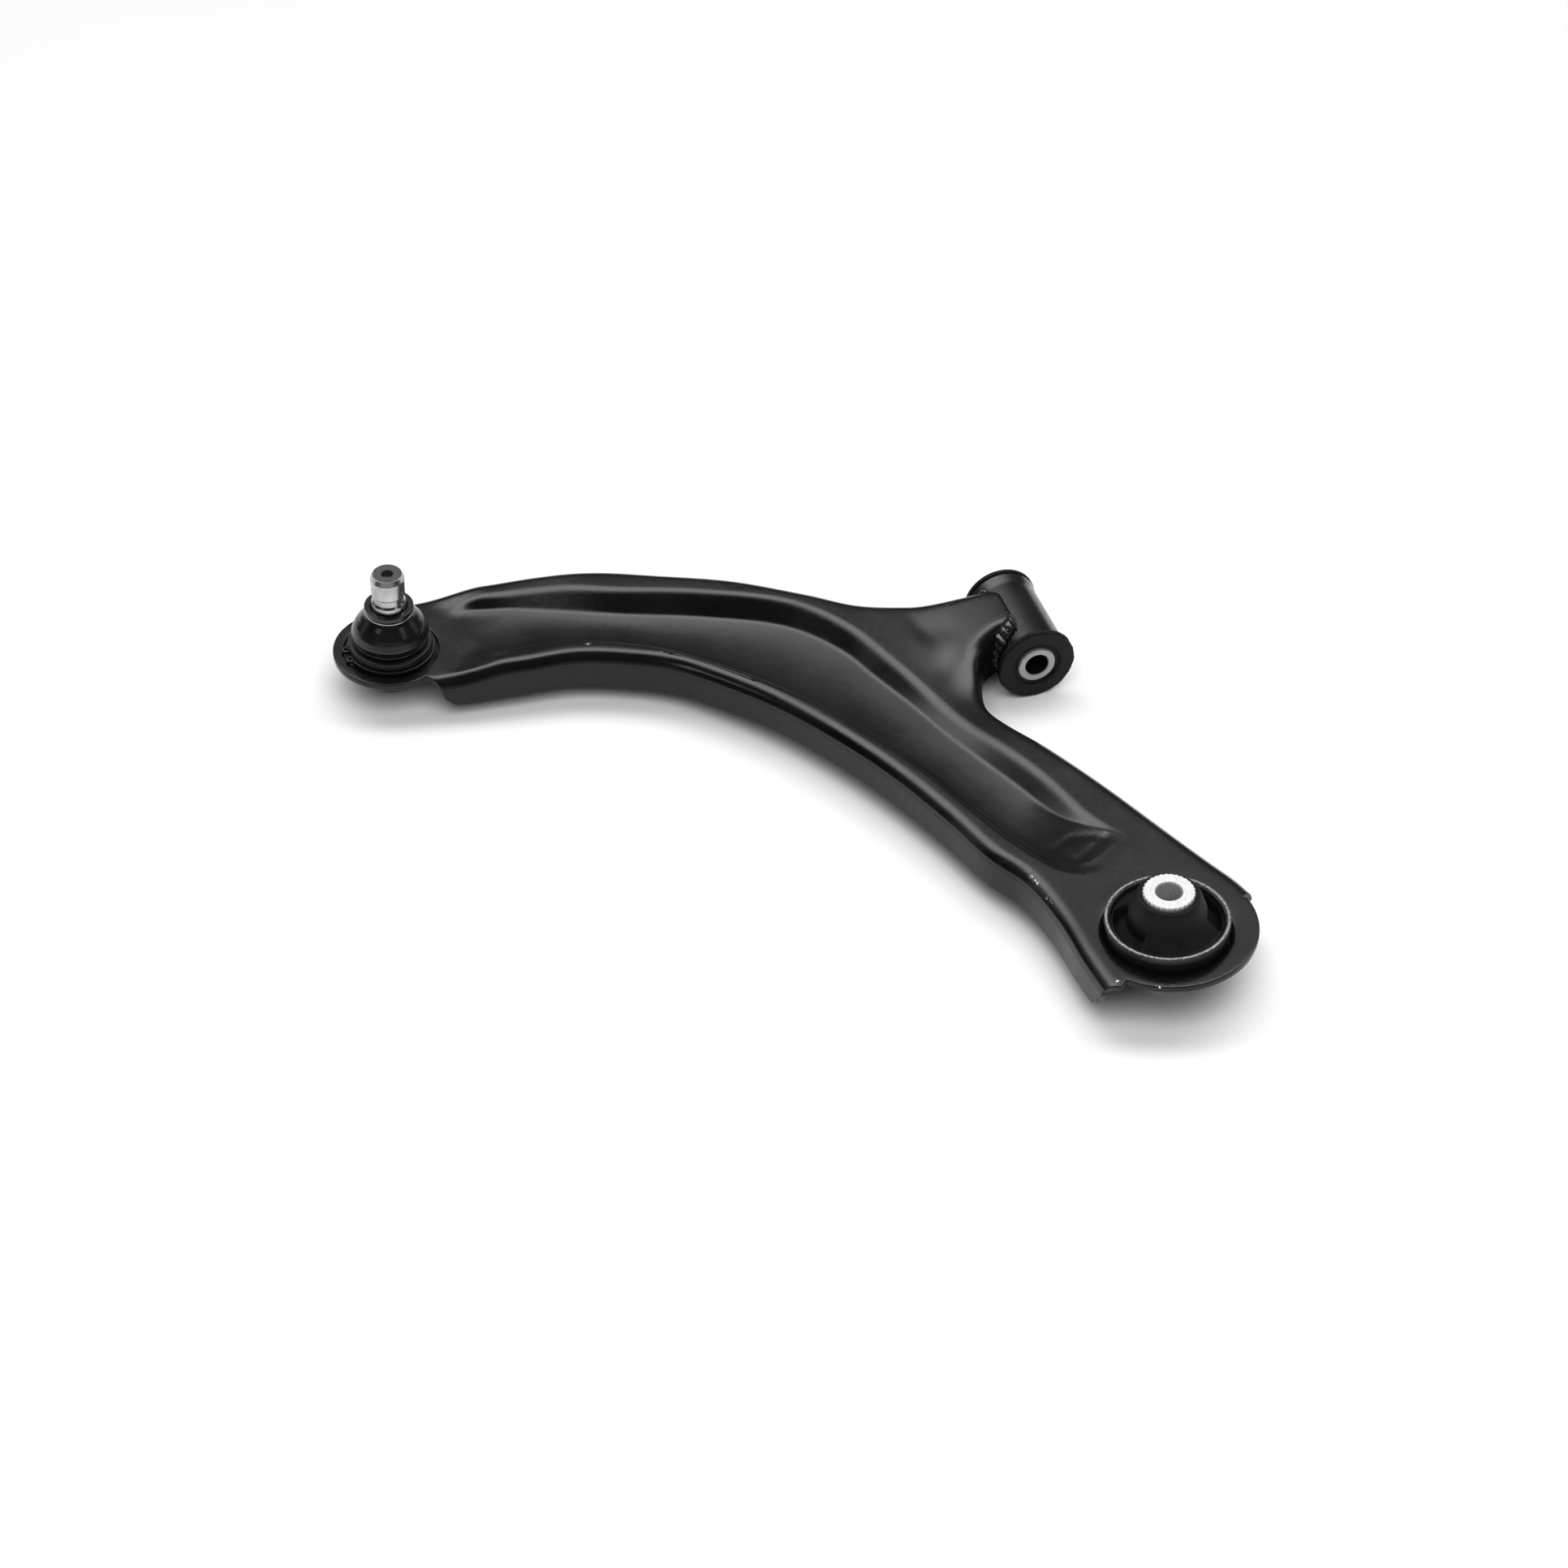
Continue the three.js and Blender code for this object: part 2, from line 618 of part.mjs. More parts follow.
const frontBush = new THREE.Group();
frontBush.position.set(FRONT.x, 0, FRONT.z);
frontBush.rotation.x = -Math.PI / 2;
const linerRadius = EYE_BORE - GAP;
frontBush.add(
  piece('front_bush_eye', 'black', sleeve(EYE_RADIUS, EYE_BORE, EYE_NEAR_END, EYE_FAR_END)),
  piece(
    'front_bush_outer_sleeve',
    'zinc',
    sleeve(linerRadius, linerRadius - FRONT_LINER, EYE_NEAR_END, EYE_FAR_END),
  ),
  piece('front_bush_rubber', 'rubber', frontRubber()),
  piece('front_bush_inner_sleeve', 'zinc', sleeve(
    FRONT_SLEEVE_RADIUS,
    FRONT_SLEEVE_BORE,
    FRONT.nearRim - FRONT_SLEEVE_STAND,
    FRONT.farRim + FRONT_SLEEVE_STAND,
    SMALL_ROUND,
  )),
  ...Object.entries(WELDS).map(([side, weld]) => (
    piece(`eye_weld_${side}`, 'weld', closed(eyeWeld(weld)))
  )),
);

const arm = new THREE.Group();
arm.position.set(-REFERENCE.x, -REFERENCE.y, 0);
arm.add(piece('arm_shell', 'black', armShell()), frontBush, rearBush, ballJoint);

const group = new THREE.Group();
group.name = 'control_arm';
group.add(arm);

export default group;
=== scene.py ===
"""A pressed-steel lower control arm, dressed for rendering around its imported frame.

Shapes are worked out in millimetres from the ball joint's axis, with the ground at z = 0,
and turned into the row frame's metres when a piece is made.
"""
import math
from functools import partial

import bpy
import numpy as np
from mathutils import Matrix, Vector
from mathutils.geometry import delaunay_2d_cdt


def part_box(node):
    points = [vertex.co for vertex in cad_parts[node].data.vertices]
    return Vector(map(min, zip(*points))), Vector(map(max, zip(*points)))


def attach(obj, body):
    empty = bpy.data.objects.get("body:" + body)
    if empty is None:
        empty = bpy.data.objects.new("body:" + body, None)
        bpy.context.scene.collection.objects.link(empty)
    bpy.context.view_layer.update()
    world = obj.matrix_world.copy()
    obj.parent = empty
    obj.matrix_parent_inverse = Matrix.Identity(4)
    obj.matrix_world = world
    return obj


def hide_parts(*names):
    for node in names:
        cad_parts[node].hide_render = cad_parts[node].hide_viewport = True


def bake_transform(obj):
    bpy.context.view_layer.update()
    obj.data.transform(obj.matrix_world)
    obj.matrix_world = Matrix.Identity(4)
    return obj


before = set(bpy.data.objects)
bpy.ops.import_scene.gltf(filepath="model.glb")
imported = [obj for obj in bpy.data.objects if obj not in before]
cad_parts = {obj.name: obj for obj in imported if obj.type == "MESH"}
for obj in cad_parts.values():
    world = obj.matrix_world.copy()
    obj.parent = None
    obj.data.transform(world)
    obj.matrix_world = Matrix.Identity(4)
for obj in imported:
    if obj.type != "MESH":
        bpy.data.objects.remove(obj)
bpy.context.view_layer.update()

MM = 0.001


def axis_of(node):
    """The middle of a node's box."""
    low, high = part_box(node)
    return np.array((low + high) / 2)


BALL_AXIS = axis_of("ball_stud")
ORIGIN = np.array([BALL_AXIS[0], BALL_AXIS[1], 0.0])
REAR = (axis_of("rear_bush_inner_sleeve") - ORIGIN) / MM
FRONT = (axis_of("front_bush_inner_sleeve") - ORIGIN) / MM


def row_frame(points):
    return np.asarray(points, float) * MM + ORIGIN


def add_object(name, data):
    item = bpy.data.objects.new(name, data)
    bpy.context.scene.collection.objects.link(item)
    return item


# ---- Materials ----

def add_node(tree, kind, inputs=None, **settings):
    """A new node; inputs hold values or sockets to link, by name or number."""
    node = tree.nodes.new(kind)
    for key, value in settings.items():
        setattr(node, key, value)
    for key, value in (inputs or {}).items():
        if isinstance(value, bpy.types.NodeSocket):
            tree.links.new(value, node.inputs[key])
        else:
            node.inputs[key].default_value = value
    return node


class Graph:
    """A material's node tree around one Principled shader."""

    def __init__(self, name, color, roughness, metallic=0.0, **fixed):
        self.material = bpy.data.materials.new(name)
        self.material.use_nodes = True
        self.tree = self.material.node_tree
        self.add = partial(add_node, self.tree)
        self.shader = self.tree.nodes["Principled BSDF"]
        values = {"Base_Color": (*color, 1), "Roughness": roughness, "Metallic": metallic, **fixed}
        for socket, value in values.items():
            self.shader.inputs[socket.replace("_", " ")].default_value = value
        self.place = self.add("ShaderNodeTexCoord").outputs["Object"]

    def noise(self, scale, detail=3.0, stretch=None):
        """Noise between 0 and 1; scale is in cycles per metre, stretch scales its axes."""
        vector = self.place
        if stretch:
            vector = self.add("ShaderNodeMapping", {"Vector": vector, "Scale": stretch}).outputs[0]
        node = self.add("ShaderNodeTexNoise", {"Vector": vector, "Scale": scale, "Detail": detail})
        return node.outputs["Fac"]

    def remap(self, value, low, high, to_low=0.0, to_high=1.0):
        node = self.add("ShaderNodeMapRange", {
            "Value": value, "From Min": low, "From Max": high, "To Min": to_low, "To Max": to_high,
        })
        return node.outputs["Result"]

    def around(self, noise, middle, reach):
        """Noise turned into values around a middle."""
        return self.remap(noise, 0.3, 0.7, middle - reach, middle + reach)

    def math(self, operation, a, b=0.0):
        return self.add("ShaderNodeMath", {0: a, 1: b}, operation=operation).outputs[0]

    def mix(self, factor, a, b):
        a, b = (value if isinstance(value, bpy.types.NodeSocket) else (*value, 1) for value in (a, b))
        return self.add("ShaderNodeMix", {0: factor, 6: a, 7: b}, data_type="RGBA").outputs[2]

    def bump(self, height, distance, strength, **normal):
        inputs = {"Height": height, "Distance": distance, "Strength": strength, **normal}
        return self.add("ShaderNodeBump", inputs).outputs[0]

    def driven(self, **sockets):
        """The finished material, its shader's sockets linked to the values given."""
        for socket, value in sockets.items():
            self.tree.links.new(value, self.shader.inputs[socket.replace("_", " ")])
        return self.material

    def near(self, points, radius, ragged):
        """1 within about radius of any of the points (in mm), with a ragged edge."""
        wobble = self.remap(self.noise(1500, 2.0), 0.3, 0.7, 1 - ragged, 1 + ragged)
        found = None
        for point in points:
            away = self.add("ShaderNodeVectorMath", {0: self.place, 1: tuple(row_frame(point))},
                            operation="DISTANCE").outputs["Value"]
            inside = self.math("LESS_THAN", self.math("MULTIPLY", away, wobble), radius * MM)
            found = self.math("MAXIMUM", found, inside) if found else inside
        return found


# Where the black coat is chipped to bright metal, in mm, and how large and ragged a chip is.
CHIP_RADIUS, CHIP_RAGGED = 0.5, 0.75
CHIPS = [
    (250.3, -284.5, 32.2), (250.8, -287.5, 32.0), (251.4, -290.0, 31.8), (252.2, -301.5, 31.6),
    (252.6, -304.0, 31.5), (262.5, -371.0, 32.8), (263.6, -371.4, 32.6), (280.5, -381.5, 32.8),
    (96.5, -37.5, 30.6), (97.5, -37.0, 30.6),
]


def coat(name, roughness, chips=(), **fixed):
    """Black dip coat: nearly smooth, a little orange peel, faint dust and flow marks."""
    g = Graph(name, (0.0035, 0.0035, 0.0036), roughness, IOR=1.5, **fixed)
    cloud, fine = g.noise(28), g.noise(420, 2.0)
    dust = g.remap(g.noise(2600, 1.0), 0.76, 0.84, 0.0, 0.3)
    tone = g.mix(g.remap(cloud, 0.35, 0.65), (0.003, 0.003, 0.0031), (0.0048, 0.0048, 0.0049))
    tone = g.mix(dust, tone, (0.05, 0.05, 0.05))
    if chips:
        tone = g.mix(g.near(chips, CHIP_RADIUS, CHIP_RAGGED), tone, (0.75, 0.75, 0.74))
    gloss = g.math("ADD", g.around(cloud, roughness, 0.05), g.around(fine, 0, 0.03))
    peel = g.bump(g.noise(700, 2.0), 0.00003, 0.5)
    waves = g.bump(g.noise(60, 2.0), 0.0002, 0.25, Normal=peel)
    return g.driven(Base_Color=tone, Roughness=gloss, Normal=waves)


def weld_metal(name):
    """Glossy black weld with a few paler spots."""
    g = Graph(name, (0.006, 0.006, 0.006), 0.1, IOR=1.6)
    spots = g.noise(350)
    tone = g.mix(g.remap(spots, 0.62, 0.7), (0.008, 0.008, 0.009), (0.03, 0.028, 0.025))
    gloss = g.remap(spots, 0.3, 0.7, 0.07, 0.18)
    return g.driven(Base_Color=tone, Roughness=gloss, Normal=g.bump(g.noise(500, 2.0), 0.0002, 0.4))


def rubber(name, roughness, gloss_noise=0.06, grain=1100, **fixed):
    """Moulded black rubber; grain is the scale of its fine bumps."""
    g = Graph(name, (0.006, 0.006, 0.006), roughness, IOR=1.5, **fixed)
    cloud = g.noise(90)
    tone = g.mix(g.remap(cloud, 0.35, 0.65), (0.0045, 0.0045, 0.0045), (0.008, 0.0078, 0.0076))
    bumps = g.bump(g.noise(grain, 2.0), 0.00004, 0.5)
    return g.driven(Base_Color=tone, Roughness=g.around(cloud, roughness, gloss_noise), Normal=bumps)


def turned_steel(name, color, roughness, stretch):
    """Bare steel with fine tool marks; stretch squeezes the noise across the marks."""
    g = Graph(name, color, roughness, 1.0)
    line = g.noise(2400.0, 2.0, stretch)
    cloud = g.noise(120)
    dark = tuple(0.72 * c for c in color)
    tone = g.mix(g.remap(cloud, 0.35, 0.68), color, dark)
    gloss = g.math("ADD", g.around(line, roughness, 0.06), g.remap(cloud, 0.3, 0.7, -0.05, 0.07))
    return g.driven(Base_Color=tone, Roughness=gloss, Normal=g.bump(line, 0.000012, 0.6))


def zinc(name, color, roughness):
    """Dull plated or blasted end of a sleeve."""
    g = Graph(name, color, roughness, 0.75)
    grit = g.noise(1700)
    cloud = g.noise(160, 2.0)
    dark = tuple(0.6 * c for c in color)
    tone = g.mix(g.remap(grit, 0.4, 0.75), color, dark)
    gloss = g.remap(cloud, 0.3, 0.7, roughness - 0.06, roughness + 0.08)
    return g.driven(Base_Color=tone, Roughness=gloss, Normal=g.bump(grit, 0.00004, 0.6))


def worn_rim_and_shade(name):
    """Ring black below z = 38 mm, partly painted shade under its flared rim; bare steel above, lighter
    from 41 mm up.
    """
    g = Graph(name, (0.02, 0.02, 0.02), 0.4)
    height = g.add("ShaderNodeSeparateXYZ", {0: g.place}).outputs["Z"]
    grain = g.noise(700)
    level = g.math("ADD", height, g.around(grain, 0, 0.0004))
    bare = g.remap(level, 0.0380, 0.0386)
    bright = g.remap(level, 0.0411, 0.0417)
    steel = g.mix(bright, (0.075, 0.075, 0.077), (0.34, 0.34, 0.35))
    # The black below 38 mm is partly coat and partly painted shade under the rim.
    tone = g.mix(bare, (0.006, 0.006, 0.006), steel)
    gloss = g.remap(grain, 0.3, 0.7, 0.34, 0.5)
    return g.driven(Base_Color=tone, Metallic=g.remap(bare, 0.0, 1.0, 0.0, 0.85), Roughness=gloss,
                    Normal=g.bump(grain, 0.00005, 0.6))


def moulded(name):
    """Pale bearing plastic."""
    g = Graph(name, (0.8, 0.77, 0.7), 0.45, IOR=1.5)
    cloud = g.noise(200, 2.0)
    tone = g.mix(cloud, (0.82, 0.79, 0.72), (0.76, 0.73, 0.65))
    return g.driven(Base_Color=tone, Roughness=g.remap(cloud, 0.3, 0.7, 0.4, 0.52))


COAT = coat("black_coat", 0.19, CHIPS)
COAT_PLAIN = coat("black_coat_plain", 0.22)
# The skirts' coat reflects less than the top's: painted shade on the skirts.
COAT_SHADED_SKIRT = coat("black_coat_skirt_painted_shade", 0.24, CHIPS, Specular_IOR_Level=0.3)
WELD = weld_metal("weld_gloss")
BUSH_RUBBER = rubber("bush_rubber", 0.55, Specular_IOR_Level=0.18)
BOOT_RUBBER = rubber("boot_rubber", 0.21, 0.04, 1600)
STUD_STEEL = turned_steel("stud_steel", (0.50, 0.50, 0.51), 0.2, (0.15, 0.15, 3.0))
STUD_FACE = zinc("stud_face", (0.10, 0.10, 0.102), 0.5)
SPRING_STEEL = coat("spring_steel", 0.3)
RING_METAL_AND_SHADE = worn_rim_and_shade("ring_metal_and_shade")
REAR_SLEEVE = zinc("rear_sleeve_metal", (0.82, 0.82, 0.81), 0.42)
FRONT_SLEEVE = zinc("front_sleeve_metal", (0.40, 0.39, 0.38), 0.42)
# Near-black finish for the front sleeve's bore: painted shade inside the bore.
BORE_PAINTED_SHADE = zinc("sleeve_bore_painted_shade", (0.02, 0.02, 0.02), 0.6)
RECESS = coat("recess_black", 0.4)
SEAT_PLASTIC = moulded("seat_plastic")
RING_STEEL = turned_steel("ring_steel", (0.5, 0.5, 0.5), 0.25, (1.0, 1.0, 1.0))


# ---- Making pieces ----

def make_piece(name, points, faces, material, body=None, nodes=(), sharp=40, face_slots=None):
    """A smooth-shaded mesh piece from points in mm, its faces turned outwards."""
    points = row_frame(points)
    tri = np.array([(f[0], f[i], f[i + 1]) for f in faces for i in range(1, len(f) - 1)])
    a, b, c = (points[tri[:, k]] for k in range(3))
    if np.einsum("ij,ij->i", a - points[0], np.cross(b - points[0], c - points[0])).sum() < 0:
        faces = [tuple(reversed(f)) for f in faces]
    mesh = bpy.data.meshes.new(name)
    mesh.from_pydata(points.tolist(), [], [tuple(map(int, f)) for f in faces])
    materials = material if isinstance(material, (list, tuple)) else [material]
    for item in materials:
        mesh.materials.append(item)
    if face_slots is not None:
        mesh.polygons.foreach_set("material_index", np.asarray(face_slots, np.int32))
    mesh.update()
    piece = add_object(name, mesh)
    finish_shading(piece, sharp)
    if nodes:
        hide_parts(*nodes)
    if body:
        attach(piece, body)
    return piece


def finish_shading(piece, sharp):
    mesh = piece.data
    mesh.polygons.foreach_set("use_smooth", [True] * len(mesh.polygons))
    mesh.set_sharp_from_angle(angle=math.radians(sharp))
    weighted = piece.modifiers.new("weighted", "WEIGHTED_NORMAL")
    weighted.keep_sharp = True


def rounded(profile, closed=True, steps=4):
    """A profile of (radius, height[, fillet]) points with its corners rounded."""
    points = [np.array(p[:2], float) for p in profile]
    count = len(points)
    result = []
    for i, point in enumerate(points):
        fillet = profile[i][2] if len(profile[i]) > 2 else 0.0
        if fillet <= 0 or not (closed or 0 < i < count - 1):
            result.append(point)
            continue
        before = points[i - 1] - point
        after = points[(i + 1) % count] - point
        length_before, length_after = np.linalg.norm(before), np.linalg.norm(after)
        before, after = before / length_before, after / length_after
        half = math.acos(max(-1.0, min(1.0, float(before @ after)))) / 2
        if half > math.radians(88):
            result.append(point)
            continue
        reach = min(fillet / math.tan(half), 0.48 * length_before, 0.48 * length_after)
        radius = reach * math.tan(half)
        middle = before + after
        centre = point + middle / np.linalg.norm(middle) * (radius / math.sin(half))
        start, end = point + before * reach - centre, point + after * reach - centre
        turn = math.atan2(start[0] * end[1] - start[1] * end[0], float(start @ end))
        base = math.atan2(start[1], start[0])
        for k in range(steps + 1):
            angle = base + turn * k / steps
            result.append(centre + radius * np.array([math.cos(angle), math.sin(angle)]))
    return np.array(result)


def tube_faces(rows, columns, closed=False):
    """Quads between neighbouring rings of points; closed joins the last ring to the first."""
    faces = []
    for k in range(rows if closed else rows - 1):
        here, there = k * columns, (k + 1) % rows * columns
        for i in range(columns):
            j = (i + 1) % columns
            faces.append((here + i, here + j, there + j, there + i))
    return faces


def end_caps(rows, columns):
    return [tuple(reversed(range(columns))), tuple(range((rows - 1) * columns, rows * columns))]


def lathe(profile, segments=128, shape=None):
    """Points and faces of a closed profile turned about Z; shape may change it by angle."""
    rows = []
    for k in range(segments):
        angle = 2 * math.pi * k / segments
        line = profile if shape is None else shape(profile, angle)
        radius, height = line.T
        rows.append(np.column_stack([radius * math.cos(angle), radius * math.sin(angle), height]))
    return weld_points(np.vstack(rows), tube_faces(segments, len(profile), closed=True))


def weld_points(points, faces, grain=1e-4):
    """Merges points that coincide and drops faces that vanish."""
    keys = np.round(np.asarray(points) / grain).astype(np.int64)
    _, first, index = np.unique(keys, axis=0, return_index=True, return_inverse=True)
    index = index.reshape(-1)
    kept = []
    for face in faces:
        loop = []
        for corner in (index[c] for c in face):
            if not loop or corner != loop[-1]:
                loop.append(int(corner))
        if len(loop) > 1 and loop[0] == loop[-1]:
            loop.pop()
        if len(loop) > 2:
            kept.append(tuple(loop))
    return np.asarray(points)[first], kept


def bar(inner, outer, bottom, top, inner_fillet, outer_fillet):
    """Profile of a ring's round-cornered bar."""
    return [(inner, bottom, inner_fillet), (outer, bottom, outer_fillet),
            (outer, top, outer_fillet), (inner, top, inner_fillet)]


def at_rear(points):
    return points + [REAR[0], REAR[1], 0]


def on_front(points):
    """Lays a turned piece along Y on the front bush's axis; its height becomes Y."""
    return np.column_stack([FRONT[0] + points[:, 0], points[:, 2], FRONT[2] - points[:, 1]])


def turned_piece(name, profile, material, body, nodes, place=None, segments=128, shape=None):
    points, faces = lathe(rounded(profile), segments, shape)
    return make_piece(name, place(points) if place else points, faces, material, body, nodes)


# ---- Pressed shell ----

SHEET = 3.6  # thickness
SHELL_SHARP = 50  # degrees; steeper folds are shaded as edges
SHOULDER = 8.0  # radius between top and skirts
DRAFT = 0.8  # how far the skirts lean out at their feet
# The round plates at both ends; arc says between which angles their rims are free.
BALL_PLATE = {"centre": (0, 0), "radius": 30.5, "arc": (72, 286), "hole": 24.8, "top": 24.0}
REAR_PLATE = {"centre": (301.0, -341.0), "radius": 45.5, "arc": (-138, 8), "top": 33.0}
COLLAR_INNER, COLLAR_ENTRY, COLLAR_STEP, COLLAR_BOTTOM = 30.9, 3.6, 27.0, 22.5
NEAR_EDGE = [
    (17, -37), (36, -39.5), (62, -42.5), (85, -45.5), (110, -55), (133.5, -68.7), (151.2, -86.7),
    (176.4, -119.2), (205, -173.4), (225, -226.5), (235.6, -261.8), (246.4, -284.8), (251.5, -315),
    (252.5, -345), (254.5, -371),
]
FAR_EDGE = [
    (351.3, -329.5), (348, -318.4), (340, -299.4), (329.2, -272.7), (312, -229.4), (296.3, -194.4),
    (283.6, -169), (278, -148), (282, -128.5), (288, -115), (301, -107.5), (313, -106.5), (325, -99),
    (325, -83), (313, -74), (291.5, -69.5), (265.5, -62), (242, -52), (219, -33.5), (185.7, -10),
    (151.6, 7.1), (118.7, 21.8), (86.9, 29.2), (60.3, 32.5), (36, 35), (12, 35.5),
]
# The channel's floor crease: x, y, width of the sloping wall beside it, width of the gentle
# run-out on the floor, and how soft the crease is.
CHANNEL_FLOOR = [
    (44, -16, 13, 5, 0.45), (90, -24, 12, 6, 0.45), (131, -42, 12, 7, 0.45),
    (168, -76, 12, 7, 0.42), (202, -120, 12, 7, 0.38), (228, -170, 12, 6, 0.34),
    (248, -223, 12, 5, 0.3), (257, -248, 12, 4, 0.3), (264, -268, 10, 2.5, 0.3),
    (269, -280, 8, 2, 0.35), (278.5, -286, 8, 1.5, 0.4), (292, -281, 8, 1.5, 0.4),
    (303.5, -272.5, 4, 1.2, 0.3), (298, -264.5, 4, 1.2, 0.2), (289.5, -255.5, 8, 2, 0.14),
    (283, -246, 11, 3, 0.12), (271, -214, 13.5, 5, 0.12), (258, -182, 14, 6, 0.12),
    (249, -158, 13, 6, 0.12), (242, -135, 12.5, 6, 0.12), (231, -105, 13, 6, 0.14),
    (220, -77, 14, 6, 0.16), (200, -51.5, 15.5, 6, 0.2), (160, -29, 16, 6, 0.2),
    (118, -12, 16.5, 6, 0.14), (92, -1.5, 17, 5, 0.12), (60, 11, 11, 5, 0.12),
    (45, 14, 8.5, 4, 0.2), (38.5, 6, 8, 4, 0.4), (37.5, -6, 9, 4, 0.45),
]
CREST_ROUND = 6.5  # longest rounding where the channel's wall leaves the crest
CREST_LIMIT = 0.75  # rounding at the crest and softness of the crease share this much of the wall
RUN_OUT_SLOPE = 0.12
FAR_SOFTNESS = 0.25  # creases crisper than this belong to the channel's far side
FLOOR_BOWL = {"far": 0.085, "near": 0.04}  # slopes of the dished floor at its two sides
# Heights by distance from the ball joint's axis: the top, the channel's floor, the skirts' feet.
CREST = [(38, 24), (64, 28.8), (110, 30.4), (200, 31.4), (300, 33.3), (345, 33)]
FLOOR = [(60, 24), (150, 22.3), (230, 22.3), (350, 24.2), (410, 33.2)]
FOOT = [(30, 8.5), (100, 10), (250, 12), (330, 12), (400, 12), (450, 13)]
# The branch climbs towards the eye between these places.
BRANCH_RISE = {"height": 6.7, "x": (262, 308), "y": (-150, -115)}
# Soft hollows of the pressing: x, y, reach along and across, angle, depth.
HOLLOWS = [
    (258, -143, 46, 22, 90, 3.2), (277, -148, 20, 12, 90, 2.4), (268, -116, 12, 6, 60, 0.6),
    (266, -88, 5, 12, 10, 0.6), (276, -92, 5, 12, 10, 0.45),
]
# Corners of the panel at the channel's rear end, and the groove around it.
PANEL_GROOVE = {"depth": 0.6, "width": 1.7}
END_PANEL = [(270, -265), (281.5, -261), (296.5, -269.5), (275.5, -281)]
# Faces picked by the next two take the skirts' duller coat, painted shade.
SKIRT_TOP = 18.0  # everything lower than this is skirt,
SKIRT_LEAN = 0.3  # and so is every face whose unit normal rises less than this
SKIRT_ROWS = (0, 0.06, 0.3, 0.6, 0.85)  # shares of the skirt's height
SKIRT_CORNER = 4.5  # radius of the skirts' lower corners
SKIRT_SHEAR, END_FADE = 0.62, 30  # slant of the skirts' ends, and its reach along the edge
EDGE_STEP = 2.5
GRID_STEP = 3.0


def smoothstep(value, low, high):
    t = np.clip((np.asarray(value, float) - low) / (high - low), 0, 1)
    return t * t * (3 - 2 * t)


def height_at(table, distance):
    """A smooth height read from a table of (distance, height)."""
    height = np.full(np.shape(distance), float(table[0][1]))
    for (low, start), (high, end) in zip(table, table[1:]):
        height = height + smoothstep(distance, low, high) * (end - start)
    return height


def crest_height(x, y):
    """Height of the shell's top."""
    rise = smoothstep(x, *BRANCH_RISE["x"]) * smoothstep(y, *BRANCH_RISE["y"])
    height = height_at(CREST, np.hypot(x, y)) + BRANCH_RISE["height"] * rise
    for cx, cy, along, across, angle, depth in HOLLOWS:
        turn = math.radians(angle)
        u = ((x - cx) * math.cos(turn) + (y - cy) * math.sin(turn)) / along
        v = (-(x - cx) * math.sin(turn) + (y - cy) * math.cos(turn)) / across
        height = height - depth * np.exp(-(u * u + v * v))
    points = np.column_stack([np.ravel(x), np.ravel(y)]).astype(float)
    return height - panel_groove(points).reshape(np.shape(height))


def between(t, low, high, a, b):
    return (high - t) / (high - low) * a + (t - low) / (high - low) * b


def smooth_line(knots, step, loop=False):
    """Evenly spaced points of a centripetal Catmull-Rom line through the knots."""
    p = np.array(knots, float)
    if loop:
        ends = np.vstack([p[-1], p, p[0], p[1]])
    else:
        ends = np.vstack([2 * p[0] - p[1], p, 2 * p[-1] - p[-2]])
    dense = []
    for i in range(len(ends) - 3):
        p0, p1, p2, p3 = ends[i:i + 4]
        knot = [0.0]
        for a, b in ((p0, p1), (p1, p2), (p2, p3)):
            knot.append(knot[-1] + math.sqrt(np.linalg.norm((b - a)[:2])))
        t0, t1, t2, t3 = knot
        for t in np.linspace(t1, t2, 24, endpoint=False):
            a1, a2 = between(t, t0, t1, p0, p1), between(t, t1, t2, p1, p2)
            a3 = between(t, t2, t3, p2, p3)
            b1, b2 = between(t, t0, t2, a1, a2), between(t, t1, t3, a2, a3)
            dense.append(between(t, t1, t2, b1, b2))
    dense.append(p[0] if loop else p[-1])
    dense = np.array(dense)
    run = np.r_[0, np.cumsum(np.linalg.norm(np.diff(dense[:, :2], axis=0), axis=1))]
    marks = np.linspace(0, run[-1], max(4, round(run[-1] / step)) + 1)
    line = np.column_stack([np.interp(marks, run, dense[:, k]) for k in range(dense.shape[1])])
    return line[:-1] if loop else line


def line_directions(line, loop):
    """Unit vectors along a plan line and to its left."""
    if loop:
        along = np.roll(line[:, :2], -1, axis=0) - np.roll(line[:, :2], 1, axis=0)
    else:
        along = np.gradient(line[:, :2], axis=0)
    along = along / np.linalg.norm(along, axis=1, keepdims=True)
    return along, np.column_stack([-along[:, 1], along[:, 0]])


